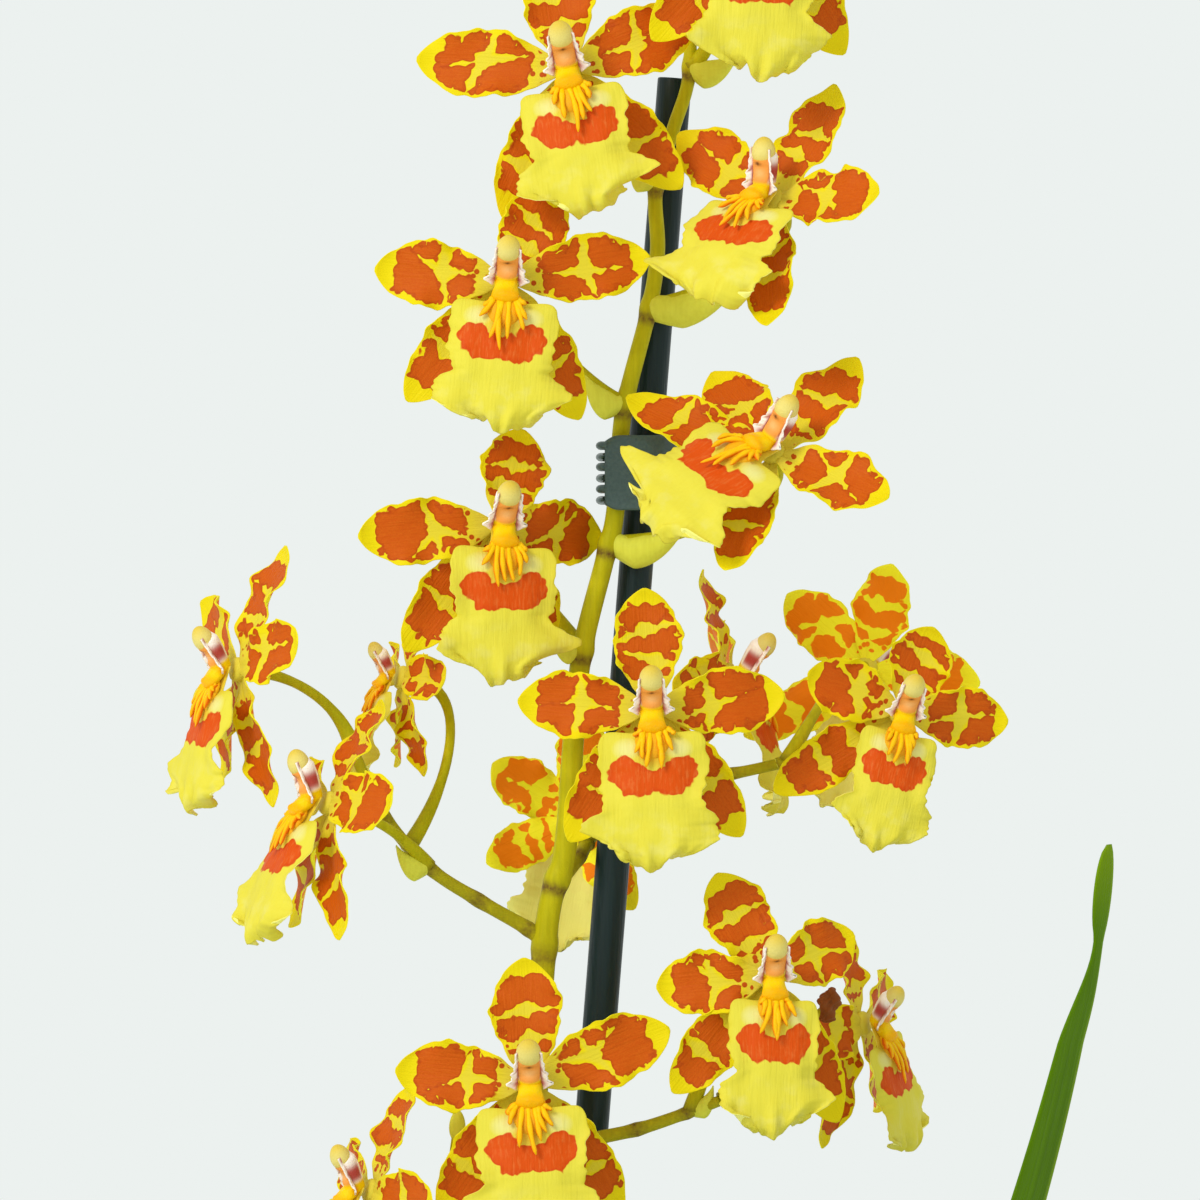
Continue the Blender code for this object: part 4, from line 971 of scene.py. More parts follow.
# %% The routes of the stem, its branches and stalks
STEM_ROUTE = [
    (-6, -2, 60), (-4, 0, 200), (-2, 0, 310), (2, 0, 410), (6, 0, 482),
    (10.8, 0, 504), (13, 0, 533), (15, 0, 552), (20.2, 0, 573), (22.4, 0, 582), (23.6, 0, 593),
    (25, 0, 610), (31, 0, 634), (33, 0, 648), (32.6, 0, 663), (36.8, 0, 677), (40.6, 0, 690),
    (40.6, 0, 708), (40, 0, 732), (41, -2, 756),
]
STEM_RADII = np.array([(60, 3.7), (420, 3.1), (482, 2.9), (564, 2.35), (700, 1.5), (756, 0.8)])
STEM_NODES = np.array([150, 232, 318, 392, 431, 462, 481, 497, 536, 552, 577.5, 611, 634, 664, 692, 735])
BRANCHES = {
    "left": [(6, 0, 481), (2, 0, 485), (-10, -1, 492), (-22, -2, 500), (-33, -3, 513), (-40, -4, 528)],
    "right": [(10, 0, 497), (14, 9, 502), (19, 15, 509), (33, 16, 520), (50, 12, 522), (64, 6, 525)],
    "low_right": [(3, 0, 431), (14, -1, 434), (28, -2, 437), (40, -3, 441), (48, -4, 444)],
    "low_left": [(0, 0, 392), (-8, -2, 404), (-18, -4, 416), (-28, -6, 423)],
}
BRANCH_RADIUS = 1.6
PEDICEL_RADIUS = 1.05
PEDICEL_SHAPE = [2.0, 1.2, 1.1, 1.4, 1.6]
RECEPTACLE = 4.2
STALKS = {
    "bloom_01": ((32.6, 0, 664), (-8, -2, 8)), "bloom_02": ((40.6, 0, 692), (8, -2, 4)),
    "bloom_03": ((31, 0, 634), (12, -2, 3)), "bloom_04": ((25, 0, 611), (-10, -2, 4)),
    "bloom_05": ((22, 0, 577.5), (18, -3, 1)), "bloom_06": ((15, 0, 552), (-6, 9, 8)),
    "bloom_07": ((13.4, 0, 536), (8, -6, 4)), "bloom_08": ((62, 7, 524), (10, 0, 3)),
    "bloom_09": ((40, 14.5, 521), (-4, 6, 8)), "bloom_10": ((16, 12, 505), (0, 4, 3)),
    "bloom_11": ((-40, -4, 528), (-3, 0, 12)), "bloom_12": ((-27, -2.6, 504.5), (10, 12, 14)),
    "bloom_13": ((-22, -2, 500), (-6, -4, 8)), "bloom_14": ((5, 0, 462), (-2, -8, 0)),
    "bloom_15": ((41, -3, 441.5), (4, 0, 14)), "bloom_16": ((48, -4, 444), (10, 2, 4)),
    "bloom_17": ((-27, -6, 422), (-3, 2, 3)), "bloom_18": ((64, 6, 525), (6, 2, 10)),
    "bloom_19": ((40, 0, 735), (-12, -2, 8)),
}
BUDS = [
    ((41, -2, 754), (42, -4, 762), 3.2), ((40.4, 0, 744), (48, -5, 753), 3.4),
    ((-18, -4, 416), (-15, -4, 438), 1.9), ((48, -4, 444), (74, -6, 467), 2.2),
]
BRACTS = {
    "bloom_01": ((-6, -3, 6), 5.5),
    "bloom_02": ((12, -3, 1), 6.0),
    "bloom_03": ((24, -5, 8), 7.5),
    "bloom_04": ((-10, -4, 5), 6.0),
    "bloom_05": ((18, -4, 2.5), 7.0),
    "bloom_06": ((-8, -3, 3), 5.0),
    "bloom_08": ((8, -1, 4), 5.0),
    "bloom_13": ((-8, -4, 3), 5.0),
    "bloom_15": ((6, -1, 4), 4.0),
}
BRACT_ABOVE = 1.3
BRACT_WIDTH = 0.38
BRACT_FULLNESS = 1.12
BRACT_START = 0.13
BRACT_SWELL = 0.55
BRACT_TAPER = 0.88
BRACT_SKIN = 0.10
print("stalks:", len(STALKS), "with bracts:", len(BRACTS))


# %% Curves through points
def smooth_route(route, steps):
    """The Catmull-Rom curve: a cubic between each pair of points, with slopes from their neighbours."""
    knots = np.array(route, float)
    knots = np.concatenate([[2 * knots[0] - knots[1]], knots, [2 * knots[-1] - knots[-2]]])
    a, b, c, d = [knots[shift:len(knots) - 3 + shift, None, :] for shift in range(4)]
    t = (np.arange(steps) / steps)[None, :, None]
    squares = (2 * a - 5 * b + 4 * c - d) * t ** 2
    cubes = (3 * b - 3 * c + d - a) * t ** 3
    curve = 0.5 * (2 * b + (c - a) * t + squares + cubes)
    return np.concatenate([curve.reshape(-1, 3), knots[-2:-1]])


def cubic(a, b, c, d, steps):
    """The cubic curve from a to d that sets off towards b and comes in from c."""
    t = np.linspace(0, 1, steps)[:, None]
    return a * (1 - t) ** 3 + b * 3 * t * (1 - t) ** 2 + c * 3 * t * t * (1 - t) + d * t ** 3


def kind(node, bract=0.0, withered=0.0):
    """The three shader amounts of a part of the stem, at each point of an array."""
    node = np.asarray(node, float)
    return np.stack([node, node * 0 + bract, node * 0 + withered], -1)


# %% Stem and branches
def add_stem(skin):
    """The main stem: its radius follows a table and swells by a bell curve at each node."""
    path = smooth_route(STEM_ROUTE, 24)
    z = path[:, 2]
    bells = np.exp(-((z[:, None] - STEM_NODES) / 2.2) ** 2).sum(1)
    scar = np.exp(-((z[:, None] - STEM_NODES + 2.4) / 1.3) ** 2).sum(1)
    radius = np.interp(z, STEM_RADII[:, 0], STEM_RADII[:, 1]) + 0.5 * bells
    skin.tube(path, radius, 20, kind=kind(np.clip(scar, 0, 1)))
    for route in BRANCHES.values():
        path = smooth_route(route, 10)
        share = np.linspace(0, 1, len(path))
        knots = np.arange(1, len(route) - 1) / (len(route) - 1)
        bells = np.exp(-((share[:, None] - knots) / 0.03) ** 2).sum(1)
        radius = BRANCH_RADIUS * (1.15 - 0.32 * share) + 0.25 * bells
        skin.tube(path, radius, 14, kind=kind(0.25 + bells * 0.6))


def add_bract(skin, foot, reach, depth):
    """A boat-shaped sheath: rings that bulge below the stalk, blunt at the foot, pinched to a keeled tip.

    Half the depth goes as a power of the distance from the foot times a power of the distance from
    the tip. The section is an ellipse whose keel is drawn out, with a seam pressed in along its top.
    """
    foot, reach = np.array(foot, float), np.array(reach, float)
    along = unit(reach)
    across = unit(np.cross(along, [0, 0, 1]))
    below = np.cross(across, along)
    below = below if below[2] < 0 else -below
    u = np.linspace(0.0, 0.995, 34)[:, None]
    angle = (np.arange(28) * 2 * math.pi / 28)[None, :]
    half = depth * BRACT_FULLNESS * (BRACT_START + u) ** BRACT_SWELL * (1 - u) ** BRACT_TAPER + BRACT_SKIN
    keel = 1 + 0.16 * np.exp(-(np.sin(angle / 2) / 0.22) ** 2)
    seam = 1 - 0.16 * np.exp(-(np.cos(angle / 2) / 0.16) ** 2) * (0.4 + 0.6 * u)
    ribs = 1 + 0.012 * np.cos(11 * angle)
    drop = (half - BRACT_ABOVE) * np.minimum(1, 4 * u) + half * keel * seam * ribs * np.cos(angle)
    aside = 2 * BRACT_WIDTH * half * seam * ribs * np.sin(angle)
    rings = foot + reach * u[..., None] + below * drop[..., None] + across * aside[..., None]
    lift = np.array([0, 0, 1]) * (1.2 * u ** 6)[..., None]
    brown = kind(0.8 * np.exp(-(u / 0.05) ** 2) + 0.5 * (u > 0.955) + 0 * angle, 1.0)
    skin.rings((rings + lift)[:, ::-1], foot, foot + reach + lift[-1, 0], kind=brown)


def add_stalk(skin, name, centre, angles):
    """A cubic from the node to just behind the bloom, then a short straight end along its back."""
    foot, lead = [np.array(value, float) for value in STALKS[name]]
    matrix = np.array(Euler((-math.radians(angles[1]), math.radians(angles[2]), math.radians(angles[0])),
                            "YXZ").to_matrix())
    back = matrix @ np.array([0, 1, 0])
    end = np.array(centre, float) + back * RECEPTACLE
    joint = end + back * 2
    bend = joint + back * np.linalg.norm(end - foot) * 0.3
    path = np.concatenate([cubic(foot, foot + lead, bend, joint, 22), [(joint + end) / 2], [end]])
    share = np.concatenate([np.linspace(0, 3, 22), [3.5, 4.0]])
    radius = PEDICEL_RADIUS * np.interp(share, range(5), PEDICEL_SHAPE)
    skin.tube(path, radius, 12, kind=kind(0.6 * np.exp(-(share / 0.1) ** 2)))
    if name in BRACTS:
        add_bract(skin, foot, *BRACTS[name])


def add_bud(skin, foot, tip, radius, is_withered):
    """A stalk and an egg, drawn out twice as long as it is wide along the stalk.

    A withered bud is crumpled by two more cosines round it, which turn as they go up.
    """
    foot, tip = np.array(foot, float), np.array(tip, float)
    skin.tube(straight(foot, tip, 10), np.full(10, PEDICEL_RADIUS), 10, kind=kind(np.zeros(10)))
    w = np.linspace(0, math.pi, 26)
    lean = (tip - foot) / np.linalg.norm(tip - foot) * 0.4 + np.array([0, 0, 1])
    path = tip - np.cos(w)[:, None] * lean / np.linalg.norm(lean) * 2 * radius
    around = (np.arange(24) * 2 * math.pi / 24)[None, :]
    seam = 1 + 0.10 * np.cos(3 * around) * np.sin(w)[:, None]
    if is_withered:
        seam = seam + 0.34 * np.cos(2 * around + 5 * w[:, None]) + 0.16 * np.cos(7 * around - 8 * w[:, None])
    skin.tube(path, np.sin(w) * radius * (1.15 - 0.1 * w) + 0.02, 24, relief=seam,
              kind=kind(0.25 * (1 - np.sin(w)) * (w < 1.5), 0.9, float(is_withered)))


def build_stem():
    """The stem with its branches, a stalk to each bloom, and the buds, as one piece."""
    skin = Skin()
    add_stem(skin)
    for bloom in BLOOMS:
        add_stalk(skin, *bloom[:3])
    for index, (foot, tip, radius) in enumerate(BUDS):
        add_bud(skin, foot, tip, radius, index == len(BUDS) - 1)
    make_piece("stem_and_stalks", skin, stem_look, ["flower_stem"])
    print("stem triangles:", sum(len(t) for t in skin.triangles))


build_stem()

# %% [markdown]
# ## Leaves and bulbs
# The leaves are straps folded along their rib, each from the top of a ridged, flattened bulb that
# stores water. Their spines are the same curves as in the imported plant, read at many more points.

# %% The colours of leaves and bulbs
LEAF_BRIGHT = colour(108, 152, 0)
LEAF_DEEP = colour(62, 98, 0)
LEAF_TIP = colour(140, 172, 12)
BULB_GREEN = colour(126, 158, 52)
BULB_SHADE = colour(78, 108, 30)
BULB_HUSK = colour(196, 180, 120)

leaf_look = Look("leaf_green", 0.45, shine=0.06)
bulb_look = Look("bulb_green", 0.42, shine=0.4)


def paint_leaf(look):
    """Green clouded by slow noise, with parallel veins, a pale line along the rib and a pale tip."""
    along, across, seed = look.parts("place")
    u, share = look.parts("form")[:2]
    vein = look.noise(look.join(along * 0.02, across * 2.4, seed), 1.0, 3.0)
    cloud = look.noise(look.join(along * 0.03, across * 0.12, seed), 1.0, 2.0)
    green = look.mix((0.45 + vein * 0.25 + cloud * 0.3).maximum(0).minimum(1), LEAF_BRIGHT, LEAF_DEEP)
    green = look.mix((1 - share / 0.10).maximum(0) * 0.9, green, LEAF_TIP)
    look.feed("Base Color", look.mix(u.step(0.93, 1.0) * 0.6, green, LEAF_TIP))
    look.bump(vein, 0.00025, 0.6)


def paint_bulb(look):
    """Green in streaks up the bulb, and a dry papery husk round its foot."""
    up, around = look.parts("place")[:2]
    at = look.object_place()
    streak = look.noise(look.join(up * 0.6, around * 9.0, 0.0), 1.0, 3.0)
    green = look.mix((0.4 + streak * 0.5).maximum(0).minimum(1), BULB_GREEN, BULB_SHADE)
    husk = 1 - (up + streak * 0.08).step(0.20, 0.34)
    look.feed("Base Color", look.mix(husk * 0.9, green, BULB_HUSK))
    look.bump(streak + look.noise(at, 500.0, 2.0) * 0.3, 0.0004, 0.6)


paint_leaf(leaf_look)
paint_bulb(bulb_look)
print("leaf shader nodes:", len(leaf_look.tree.nodes))

# %% Bulbs
BULBS = [((38, 0), 90), ((-38, 10), 84), ((6, -37), 0), ((4, 38), 8)]
BULB_HEIGHT = 76
BULB_HALF_WIDTH = 17
BULB_HALF_DEPTH = 11
BULB_FOOT = 97


def build_bulbs():
    """A flattened pear: two half sizes that shrink as it rises, and ridges as a cosine round it."""
    w = np.linspace(0.02, math.pi - 0.02, 46)
    rise = (1 - np.cos(w)) / 2
    slim = 1 - 0.45 * rise ** 2
    around = np.arange(64) * 2 * math.pi / 64
    ridges = 1 + 0.022 * np.cos(13 * around)[None, :] * np.sin(w)[:, None]
    ridges = ridges - 0.03 * np.cos(26 * around)[None, :] ** 8
    for number, (centre, turn) in enumerate(BULBS, 1):
        skin = Skin()
        path = np.stack([centre[0] + 0 * w, centre[1] + 0 * w, BULB_FOOT + BULB_HEIGHT * rise], -1)
        radii = np.stack([np.sin(w) * BULB_HALF_WIDTH * slim, np.sin(w) * BULB_HALF_DEPTH * slim], -1)
        facing = (math.cos(math.radians(turn)), math.sin(math.radians(turn)), 0)
        place = np.stack(np.broadcast_arrays(rise[:, None], np.cos(around)[None, :], 0.0), -1)
        skin.tube(path, radii, 64, reference=facing, relief=ridges, place=place)
        make_piece(f"ridged_bulb_{number}", skin, bulb_look, [f"pseudobulb_{number}"])


build_bulbs()
print("bulbs:", len(BULBS))

# %% Leaves
LEAVES = [
    ("leaf_1", 0, (3, -7), (96, -18, 330), (140, -36, 506), 30),
    ("leaf_2", 0, (-1, 7), (82, 66, 316), (146, 158, 300), 30),
    ("leaf_3", 1, (-4, -6), (-106, -24, 316), (-206, -54, 270), 32),
    ("leaf_4", 1, (1, 6), (-76, 66, 330), (-124, 136, 330), 30),
    ("leaf_5", 2, (4, -4), (44, -104, 300), (84, -196, 240), 32),
    ("leaf_6", 2, (-5, 0), (-42, -84, 320), (-92, -150, 310), 28),
    ("leaf_7", 3, (7, 1), (48, 112, 320), (96, 204, 280), 32),
    ("leaf_8", 3, (-7, -1), (-46, 94, 310), (-116, 176, 250), 29),
]
LEAF_FOLD = 0.42
LEAF_ROWS = 170
LEAF_GAP = 0.6
LEAF_GRAIN_LENGTH = 260.0
PINCHED_LEAF = "leaf_1"


def build_leaves():
    """A curved spine carries a V-shaped section; its width swells from the foot and ends in a point.

    The pinched leaf draws in near its end and then widens into a small round spoon.
    """
    wobble = random.Random(41)
    for name, bulb, offset, middle, tip, width in LEAVES:
        skin = Skin()
        centre = BULBS[bulb][0]
        foot = np.array([centre[0] + offset[0], centre[1] + offset[1], BULB_FOOT + BULB_HEIGHT + LEAF_GAP])
        middle, tip = np.array(middle, float), np.array(tip, float)
        outward = unit(np.array([tip[0] - foot[0], tip[1] - foot[1], 0]))
        rise = foot + np.array([0, 0, 80]) + 22 * outward
        bend = (middle - (foot + 3 * rise + tip) / 8) * 8 / 3
        side = np.cross(outward, [0, 0, 1])
        spine = cubic(foot, rise, bend, tip, LEAF_ROWS)[:, None, :]
        u, v = np.meshgrid(np.linspace(0, 1, LEAF_ROWS), np.linspace(-1, 1, 17), indexing="ij")
        half = width / 2 * np.maximum(0.06, np.maximum(np.sin(math.pi * (0.03 + 0.97 * u) ** 0.9), 0) ** 0.55)
        if name == PINCHED_LEAF:
            half = half * (1 - 0.55 * np.exp(-((u - 0.925) / 0.035) ** 2))
            half = np.maximum(half, 5.8 * np.sqrt(np.clip(1 - ((u - 0.964) / 0.036) ** 2, 0, 1)))
            spine = spine + outward * (0.5 * LEAF_FOLD * half * np.clip((u - 0.86) / 0.06, 0, 1))[..., None]
        sway = 0.8 * np.sin(9 * u + wobble.uniform(0, 6)) * v * np.sin(math.pi * u)
        fold = LEAF_FOLD * half * np.abs(v) + sway
        points = spine + side * (half * v)[..., None] - outward * fold[..., None]
        place = np.stack([u * LEAF_GRAIN_LENGTH, half * v, 0 * u + wobble.uniform(0, 50)], -1)
        skin.sheet(points, 1.0 - 0.5 * np.abs(v) ** 4, place=place, form=np.stack([u, np.abs(v), 0 * u], -1))
        make_piece(name + "_strap", skin, leaf_look, [name])


build_leaves()
print("leaves:", len(LEAVES))

# %% [markdown]
# ## The pot
# The pot is out of the picture, so it is a plain round one. A real one is turned or moulded round an
# axis. It could be cut from a cone, but one profile swept round the axis gives the wall, the rim and
# the floor at once. Its corners are eased, because a sharp corner would catch no light.

# %% The pot's material
pot_look = Look("pot_off_white", 0.35)
pot_cloud = pot_look.noise(pot_look.object_place(), 30.0, 3.0)
pot_share = (0.3 + pot_cloud * 0.3).maximum(0)
pot_look.feed("Base Color", pot_look.mix(pot_share, colour(232, 230, 222), colour(214, 211, 200)))
pot_look.bump(pot_look.noise(pot_look.object_place(), 220.0, 2.0), 0.0003, 0.3)

# %% The turned pot
POT_PROFILE = [
    (0, 0), (45, 0), (47, 2), (62, 106.5), (65, 108), (65, 118.5), (63.5, 120), (60, 120), (58.5, 118.5),
    (43.5, 5), (0, 5),
]


def add_turned(skin, profile, sides, **values):
    """A profile of radius and height swept round the pot's axis, its two ends on the axis."""
    profile = np.array(profile, float)
    angle = np.arange(sides) * 2 * math.pi / sides
    radius, z = profile[1:-1, :1], profile[1:-1, 1:]
    rings = np.stack(np.broadcast_arrays(radius * np.cos(angle), radius * np.sin(angle), z), -1)
    skin.rings(rings, [0, 0, profile[0, 1]], [0, 0, profile[-1, 1]], **values)


def eased(profile, reach):
    """Each corner of a profile replaced by three points on either side of it, so that it shades round."""
    profile = np.array(profile, float)
    made = [profile[0]]
    for before, corner, after in zip(profile, profile[1:], profile[2:]):
        back, ahead = corner - before, after - corner
        back = back / np.linalg.norm(back) * min(reach, np.linalg.norm(back) * 0.4)
        ahead = ahead / np.linalg.norm(ahead) * min(reach, np.linalg.norm(ahead) * 0.4)
        made += [corner - back, corner + (ahead - back) * 0.25, corner + ahead]
    return made + [profile[-1]]


def build_pot():
    """The profile with eased corners, swept round."""
    skin = Skin()
    add_turned(skin, eased(POT_PROFILE, 0.9), 120)
    make_piece("round_pot", skin, pot_look, ["pot"])
    print("pot triangles:", sum(len(t) for t in skin.triangles))


build_pot()

# %% [markdown]
# ## The bark
# Such orchids grow in coarse bark, which lets air reach their roots. Each chip could be placed by
# hand. Here a bed is turned like the pot, and angular chips are thrown on it by a seeded draw, so
# that they fall in the same places every time.

# %% The bark's material
bark_look = Look("bark_chips", 0.9, shine=0.2)
bark_grain = bark_look.noise(bark_look.object_place(), 420.0, 4.0, 0.65)
bark_share = (bark_look.number("shade") + bark_grain * 0.3).maximum(0).minimum(1)
bark_look.feed("Base Color", bark_look.mix(bark_share, colour(96, 52, 28), colour(168, 108, 66)))
bark_look.bump(bark_grain, 0.0012, 0.8)

# %% The bed and its chips
BARK_LOW, BARK_TOP = 5.35, 104
CHIPS = 260


def build_bark():
    """A bed under chips: each chip is a box with uneven corners, turned at random and half sunk."""
    skin = Skin()
    top = 43.5 + 15.0 * (BARK_TOP - 5) / 113.5 - 0.7
    bed = [(0, BARK_LOW), (42.8, BARK_LOW), (top - 0.2, BARK_TOP - 2), (top - 1, BARK_TOP - 1),
           (top * 0.5, BARK_TOP - 1), (0, BARK_TOP - 1)]
    add_turned(skin, bed, 60, shade=np.full(4, 0.1))
    draw = np.random.default_rng(7)
    spread = np.sqrt(draw.random(CHIPS)) * (top - 7.5)
    angle = draw.random(CHIPS) * 2 * math.pi
    height = BARK_TOP - 0.5 + draw.random(CHIPS) * 2.5
    centre = np.stack([spread * np.cos(angle), spread * np.sin(angle), height], -1)
    half = np.array([6.0, 3.6, 1.9]) * draw.uniform(0.55, 1.05, (CHIPS, 3))
    corners = np.array([(x, y, z) for x in (-1, 1) for y in (-1, 1) for z in (-1, 1)], float)
    boxes = corners[None] * half[:, None] * draw.uniform(0.72, 1.15, (CHIPS, 8, 3))
    turn = draw.uniform(0, math.pi, CHIPS)
    tip = draw.uniform(-0.5, 0.5, (2, CHIPS))
    boxes = np.stack([boxes[..., 0] * np.cos(turn)[:, None] - boxes[..., 1] * np.sin(turn)[:, None],
                      boxes[..., 0] * np.sin(turn)[:, None] + boxes[..., 1] * np.cos(turn)[:, None],
                      boxes[..., 2] + boxes[..., 0] * tip[0][:, None] + boxes[..., 1] * tip[1][:, None]], -1)
    cube = np.array([(0, 1, 3), (0, 3, 2), (4, 6, 7), (4, 7, 5), (0, 4, 5), (0, 5, 1), (2, 3, 7), (2, 7, 6),
                     (0, 2, 6), (0, 6, 4), (1, 5, 7), (1, 7, 3)])
    triangles = (cube[None] + 8 * np.arange(CHIPS)[:, None, None]).reshape(-1, 3)
    shade = np.repeat(draw.uniform(0, 1, CHIPS), 8)
    skin.add((boxes + centre[:, None]).reshape(-1, 3), triangles, shade=shade)
    piece = make_piece("bark_bed", skin, bark_look, ["potting_bark"])
    piece.data.shade_flat()


build_bark()
print("bark chips:", CHIPS)

# %% [markdown]
# ## The stake
# A straight dark green rod holds the spike up. A plain cylinder would do, but the ends of a real rod
# are never quite sharp, so the tube's radius draws in there. The surface has a fine grain along it.

# %% The stake's material
stake_look = Look("stake_dark_green", 0.42, shine=0.25)
stake_at = stake_look.object_place()
stake_drawn = stake_look.node("ShaderNodeMapping", inputs={"Vector": stake_at, "Scale": (1.0, 1.0, 0.04)})
stake_grain = stake_look.noise(stake_drawn, 1500.0, 2.0)
stake_fleck = stake_look.noise(stake_at, 900.0, 2.0)
stake_share = (0.5 + stake_grain * 0.4).maximum(0).minimum(1)
stake_tone = stake_look.mix(stake_share, colour(8, 30, 32), colour(22, 46, 46))
fleck_share = stake_fleck.step(0.85, 1.0) * 0.5
stake_look.feed("Base Color", stake_look.mix(fleck_share, stake_tone, colour(120, 132, 130)))
stake_look.feed("Roughness", 0.40 + stake_fleck * 0.06)
stake_look.bump(stake_grain, 0.00012, 0.5)

# %% The stake
STAKE_TOP = np.array([37.2, 7.6, 689.5])
STAKE_LEAN = math.radians(4.54)


def build_stake():
    """A rod whose radius draws in over the last half millimetre at each end."""
    skin = Skin()
    lean = np.array([math.tan(STAKE_LEAN), 0, 1])
    drop = np.concatenate([[667.5, 667.2], np.linspace(660, 6, 24), [0.5, 0.15, 0]])
    radius = np.full(len(drop), 4.1)
    radius[[0, -1]] = 3.7
    radius[-2] = 4.0
    skin.tube(STAKE_TOP - lean * drop[:, None], radius, 48, reference=(0, 1, 0))
    make_piece("round_stake", skin, stake_look, ["stake"])


build_stake()
print("stake lean in degrees:", round(math.degrees(STAKE_LEAN), 2))

# %% [markdown]
# ## The clip
# A small claw clip holds the stem to the stake: two jaws on a pin, closed by a spring. Each jaw could
# be cut from a block, but a thin wall along a curved route keeps an even thickness, as moulded
# plastic does. The back jaw rides on a body of its own, because it swings.

# %% The clip's materials
clip_look = Look("clip_grey_green", 0.3, shine=0.4)
clip_grain = clip_look.noise(clip_look.object_place(), 1400.0, 2.0)
clip_share = (0.4 + clip_grain * 0.3).maximum(0).minimum(1)
clip_look.feed("Base Color", clip_look.mix(clip_share, colour(50, 74, 74), colour(92, 114, 106)))
clip_look.bump(clip_grain, 0.00006, 0.4)

STEEL_LIGHT = (0.62, 0.63, 0.64)
STEEL_DARK = (0.46, 0.47, 0.48)
steel_look = Look("spring_wire", 0.22, metallic=1.0)
steel_grain = steel_look.noise(steel_look.object_place(), 2400.0, 2.0)
steel_share = (0.3 + steel_grain * 0.3).maximum(0).minimum(1)
steel_look.feed("Base Color", steel_look.mix(steel_share, STEEL_LIGHT, STEEL_DARK))

# %% The clip
HINGE = np.array([36.8, 4.4, 594.5])
CLIP_BOTTOM, CLIP_TOP = 585.5, 603.5
EAR_HEIGHT = 3.4
EAR_GAP = 0.35
COIL_TURNS = 2
COIL_RADIUS = 1.5
COIL_LENGTH = 2.9
# Each jaw: routes of its wall and lever seen from above, levels of its claws, way they curl, body
JAWS = {
    "front": ([(20.4, -4.6), (27, -5.3), (33, -4.6), (36.6, -1.6), (37.0, 2.0)],
              [(37.0, 2.2), (40.5, -1.0), (43.5, -2.6)], (590.6, 595.9, 601.0), 1, "plant"),
    "back": ([(20.4, 13.6), (27, 14.2), (33, 13.6), (36.6, 10.6), (37.0, 7.0)],
             [(37.0, 6.6), (40.5, 9.8), (43.5, 11.4)], (588.0, 593.3, 598.4), -1, "clip_jaw"),
}


def add_wall(skin, route, low, high, thickness):
    """An upright wall along a route seen from above, thinned towards its two long edges.

    Its height draws in a little over the first sixth of the route, which rounds those corners.
    """
    path = smooth_route([(x, y, 0) for x, y in route], 10)
    levels = np.sin(np.linspace(-1, 1, 15) * math.pi / 2)
    t, v = np.meshgrid(np.linspace(0, 1, len(path)), levels, indexing="ij")
    half = (high - low) / 2 * (1 - 0.16 * np.clip(1 - t / 0.16, 0, 1) ** 2.5)
    points = path[:, None, :] + np.stack([0 * v, 0 * v, (low + high) / 2 + half * v], -1)
    skin.sheet(points, thickness * np.sqrt(1.04 - v ** 8))


def add_barrel(skin, low, high, radius=2.0):
    """A short upright cylinder on the hinge line with softened ends."""
    z = np.array([low, low + 0.05, low + 0.3, (low + high) / 2, high - 0.3, high - 0.05, high])
    shape = np.array([radius - 0.4, radius - 0.15, radius, radius, radius, radius - 0.15, radius - 0.4])
    skin.tube(np.stack([HINGE[0] + 0 * z, HINGE[1] + 0 * z, z], -1), shape, 24, reference=(0, 1, 0))


def build_clip():
    """Each jaw is a wall, a lever, claws as bent tubes and barrels; then come the pin and the coil."""
    middle = (CLIP_BOTTOM + CLIP_TOP) / 2
    ears = {
        "front": [(CLIP_BOTTOM, CLIP_BOTTOM + EAR_HEIGHT), (CLIP_TOP - EAR_HEIGHT, CLIP_TOP)],
        "back": [(CLIP_BOTTOM + EAR_HEIGHT + EAR_GAP, middle - 2.2),
                 (middle + 2.2, CLIP_TOP - EAR_HEIGHT - EAR_GAP)],
    }
    for name, (route, lever, levels, hand, body) in JAWS.items():
        skin = Skin()
        add_wall(skin, route, CLIP_BOTTOM, CLIP_TOP, 1.6)
        add_wall(skin, lever, CLIP_BOTTOM + 3, CLIP_TOP - 3, 1.5)
        x, y = route[0]
        for level in levels:
            curl = [(x + 1, y, level), (x - 0.6, y + 1.2 * hand, level), (x - 1.1, y + 3.4 * hand, level),
                    (x - 0.5, y + 7 * hand, level)]
            path = smooth_route(curl, 6)
            thick = np.interp(np.linspace(0, 1, len(path)), [0, 0.5, 0.9, 1], [1.25, 1.25, 0.75, 0.2])
            skin.tube(path, np.stack([thick * 0.85, thick], -1), 12, reference=(0, 0, 1))
        for low, high in ears[name]:
            add_barrel(skin, low, high)
        make_piece(f"claw_{name}_jaw", skin, clip_look, [f"clip_{name}_jaw"], body=body)
    pin, spring = Skin(), Skin()
    add_barrel(pin, CLIP_BOTTOM - 1, CLIP_TOP + 1, 0.8)
    make_piece("hinge_pin", pin, steel_look, ["clip_pin"])
    t = np.linspace(0, 1, 97)
    angle = 2 * math.pi * COIL_TURNS * t + math.pi
    coil = np.stack([HINGE[0] + COIL_RADIUS * np.cos(angle), HINGE[1] + COIL_RADIUS * np.sin(angle),
                     middle + (t - 0.5) * COIL_LENGTH], -1)
    spring.tube(coil, np.full(len(t), 0.28), 10, reference=(0, 0, 1))
    make_piece("spring_coil", spring, steel_look, ["clip_spring"])


build_clip()
print("clip height in mm:", CLIP_TOP - CLIP_BOTTOM)

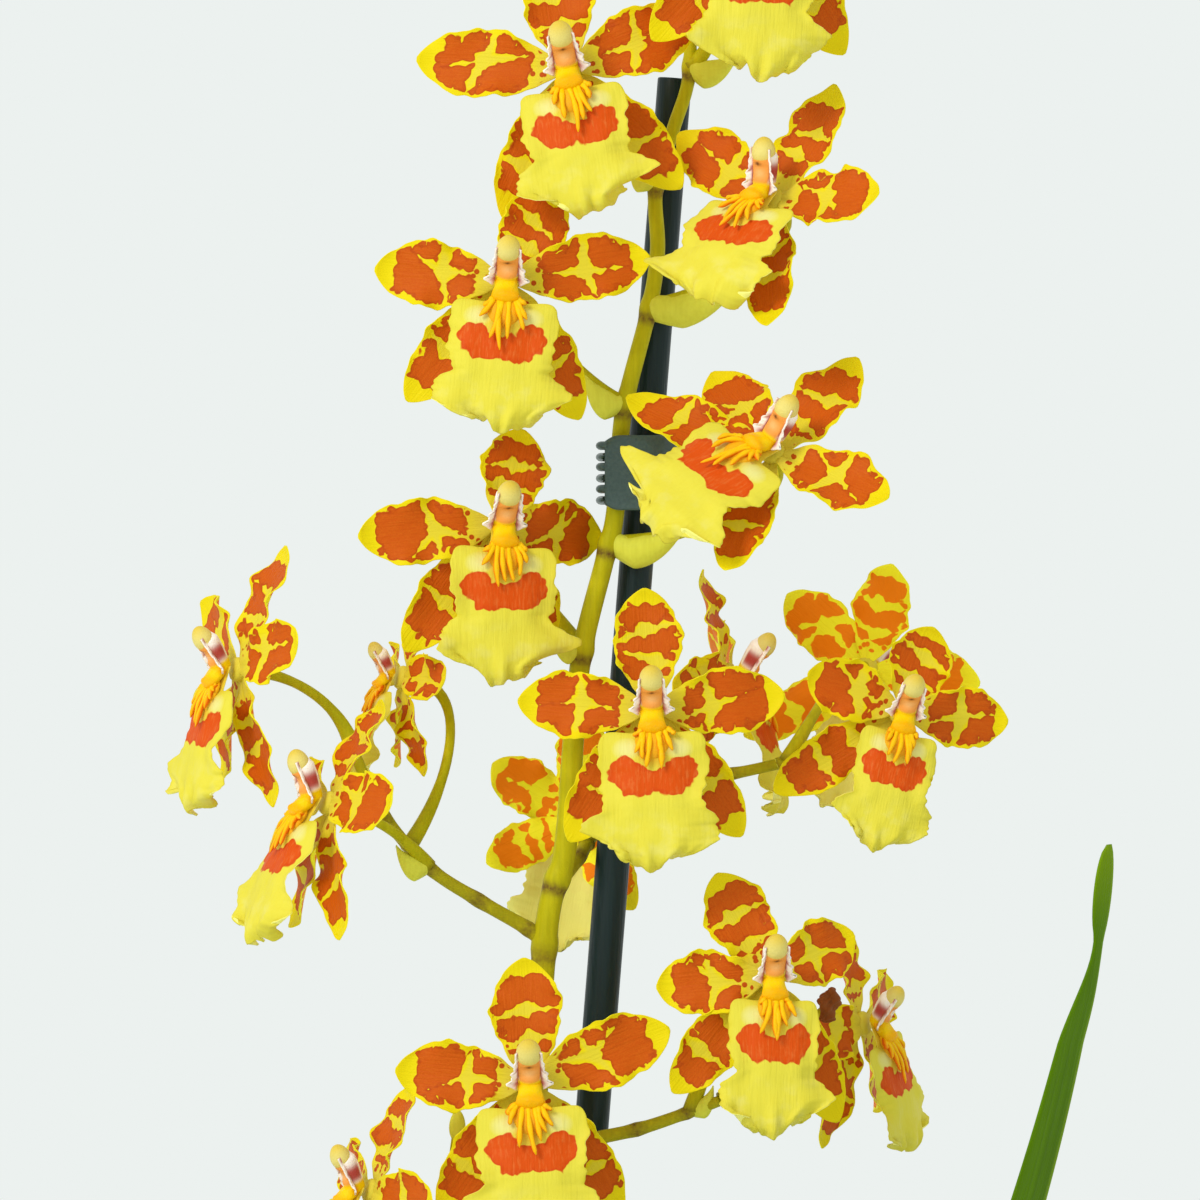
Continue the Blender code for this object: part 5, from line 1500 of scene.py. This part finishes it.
# %% [markdown]
# ## Floor, light and camera
# The photograph was taken in soft, bright light in front of a pale wall, from a good way off with a
# long lens, so there is almost no perspective. An even world light does most of the work, and one
# large lamp above and to the left gives the petals some form.

# %% Floor, light and camera
WALL = colour(236, 241, 239, share=1)


def make_floor():
    """A wide pale square under the pot, which isn't part of the plant."""
    mesh = bpy.data.meshes.new("floor")
    reach = 4.0
    corners = [(-reach, -reach, 0), (reach, -reach, 0), (reach, reach, 0), (-reach, reach, 0)]
    mesh.from_pydata(corners, [], [(0, 1, 2, 3)])
    look = Look("floor_white", 0.8)
    grain = look.noise(look.object_place(), 40.0, 3.0)
    look.feed("Base Color", look.mix((grain * 0.04).maximum(0), WALL, colour(222, 228, 226, share=1)))
    mesh.materials.append(look.material)
    floor = bpy.data.objects.new("floor", mesh)
    bpy.context.scene.collection.objects.link(floor)


def make_lamp(name, place, aim, power, size):
    """A square area lamp that looks at a point."""
    lamp = bpy.data.lights.new(name, "AREA")
    lamp.energy = power
    lamp.size = size
    thing = bpy.data.objects.new(name, lamp)
    thing.location = place
    thing.rotation_euler = (Vector(aim) - Vector(place)).to_track_quat("-Z", "Y").to_euler()
    bpy.context.scene.collection.objects.link(thing)


def make_camera():
    """A long lens, level with the middle of the spike, that sees a square of 288 mm."""
    camera = bpy.data.cameras.new("camera")
    camera.lens = 400
    camera.sensor_width = 36
    thing = bpy.data.objects.new("camera", camera)
    thing.location = (0.0192, -3.2, 0.564)
    thing.rotation_euler = (math.pi / 2, 0, 0)
    bpy.context.scene.collection.objects.link(thing)
    bpy.context.scene.camera = thing


make_floor()
world = bpy.data.worlds.new("pale_room")
world.use_nodes = True
background = world.node_tree.nodes["Background"]
background.inputs["Color"].default_value = (*WALL, 1)
background.inputs["Strength"].default_value = 1.0
bpy.context.scene.world = world
make_lamp("window", (-1.4, -1.8, 1.9), (0.02, 0, 0.56), 34, 0.8)
make_camera()
bpy.context.scene.view_settings.view_transform = "Standard"
print("lens in mm:", bpy.context.scene.camera.data.lens)
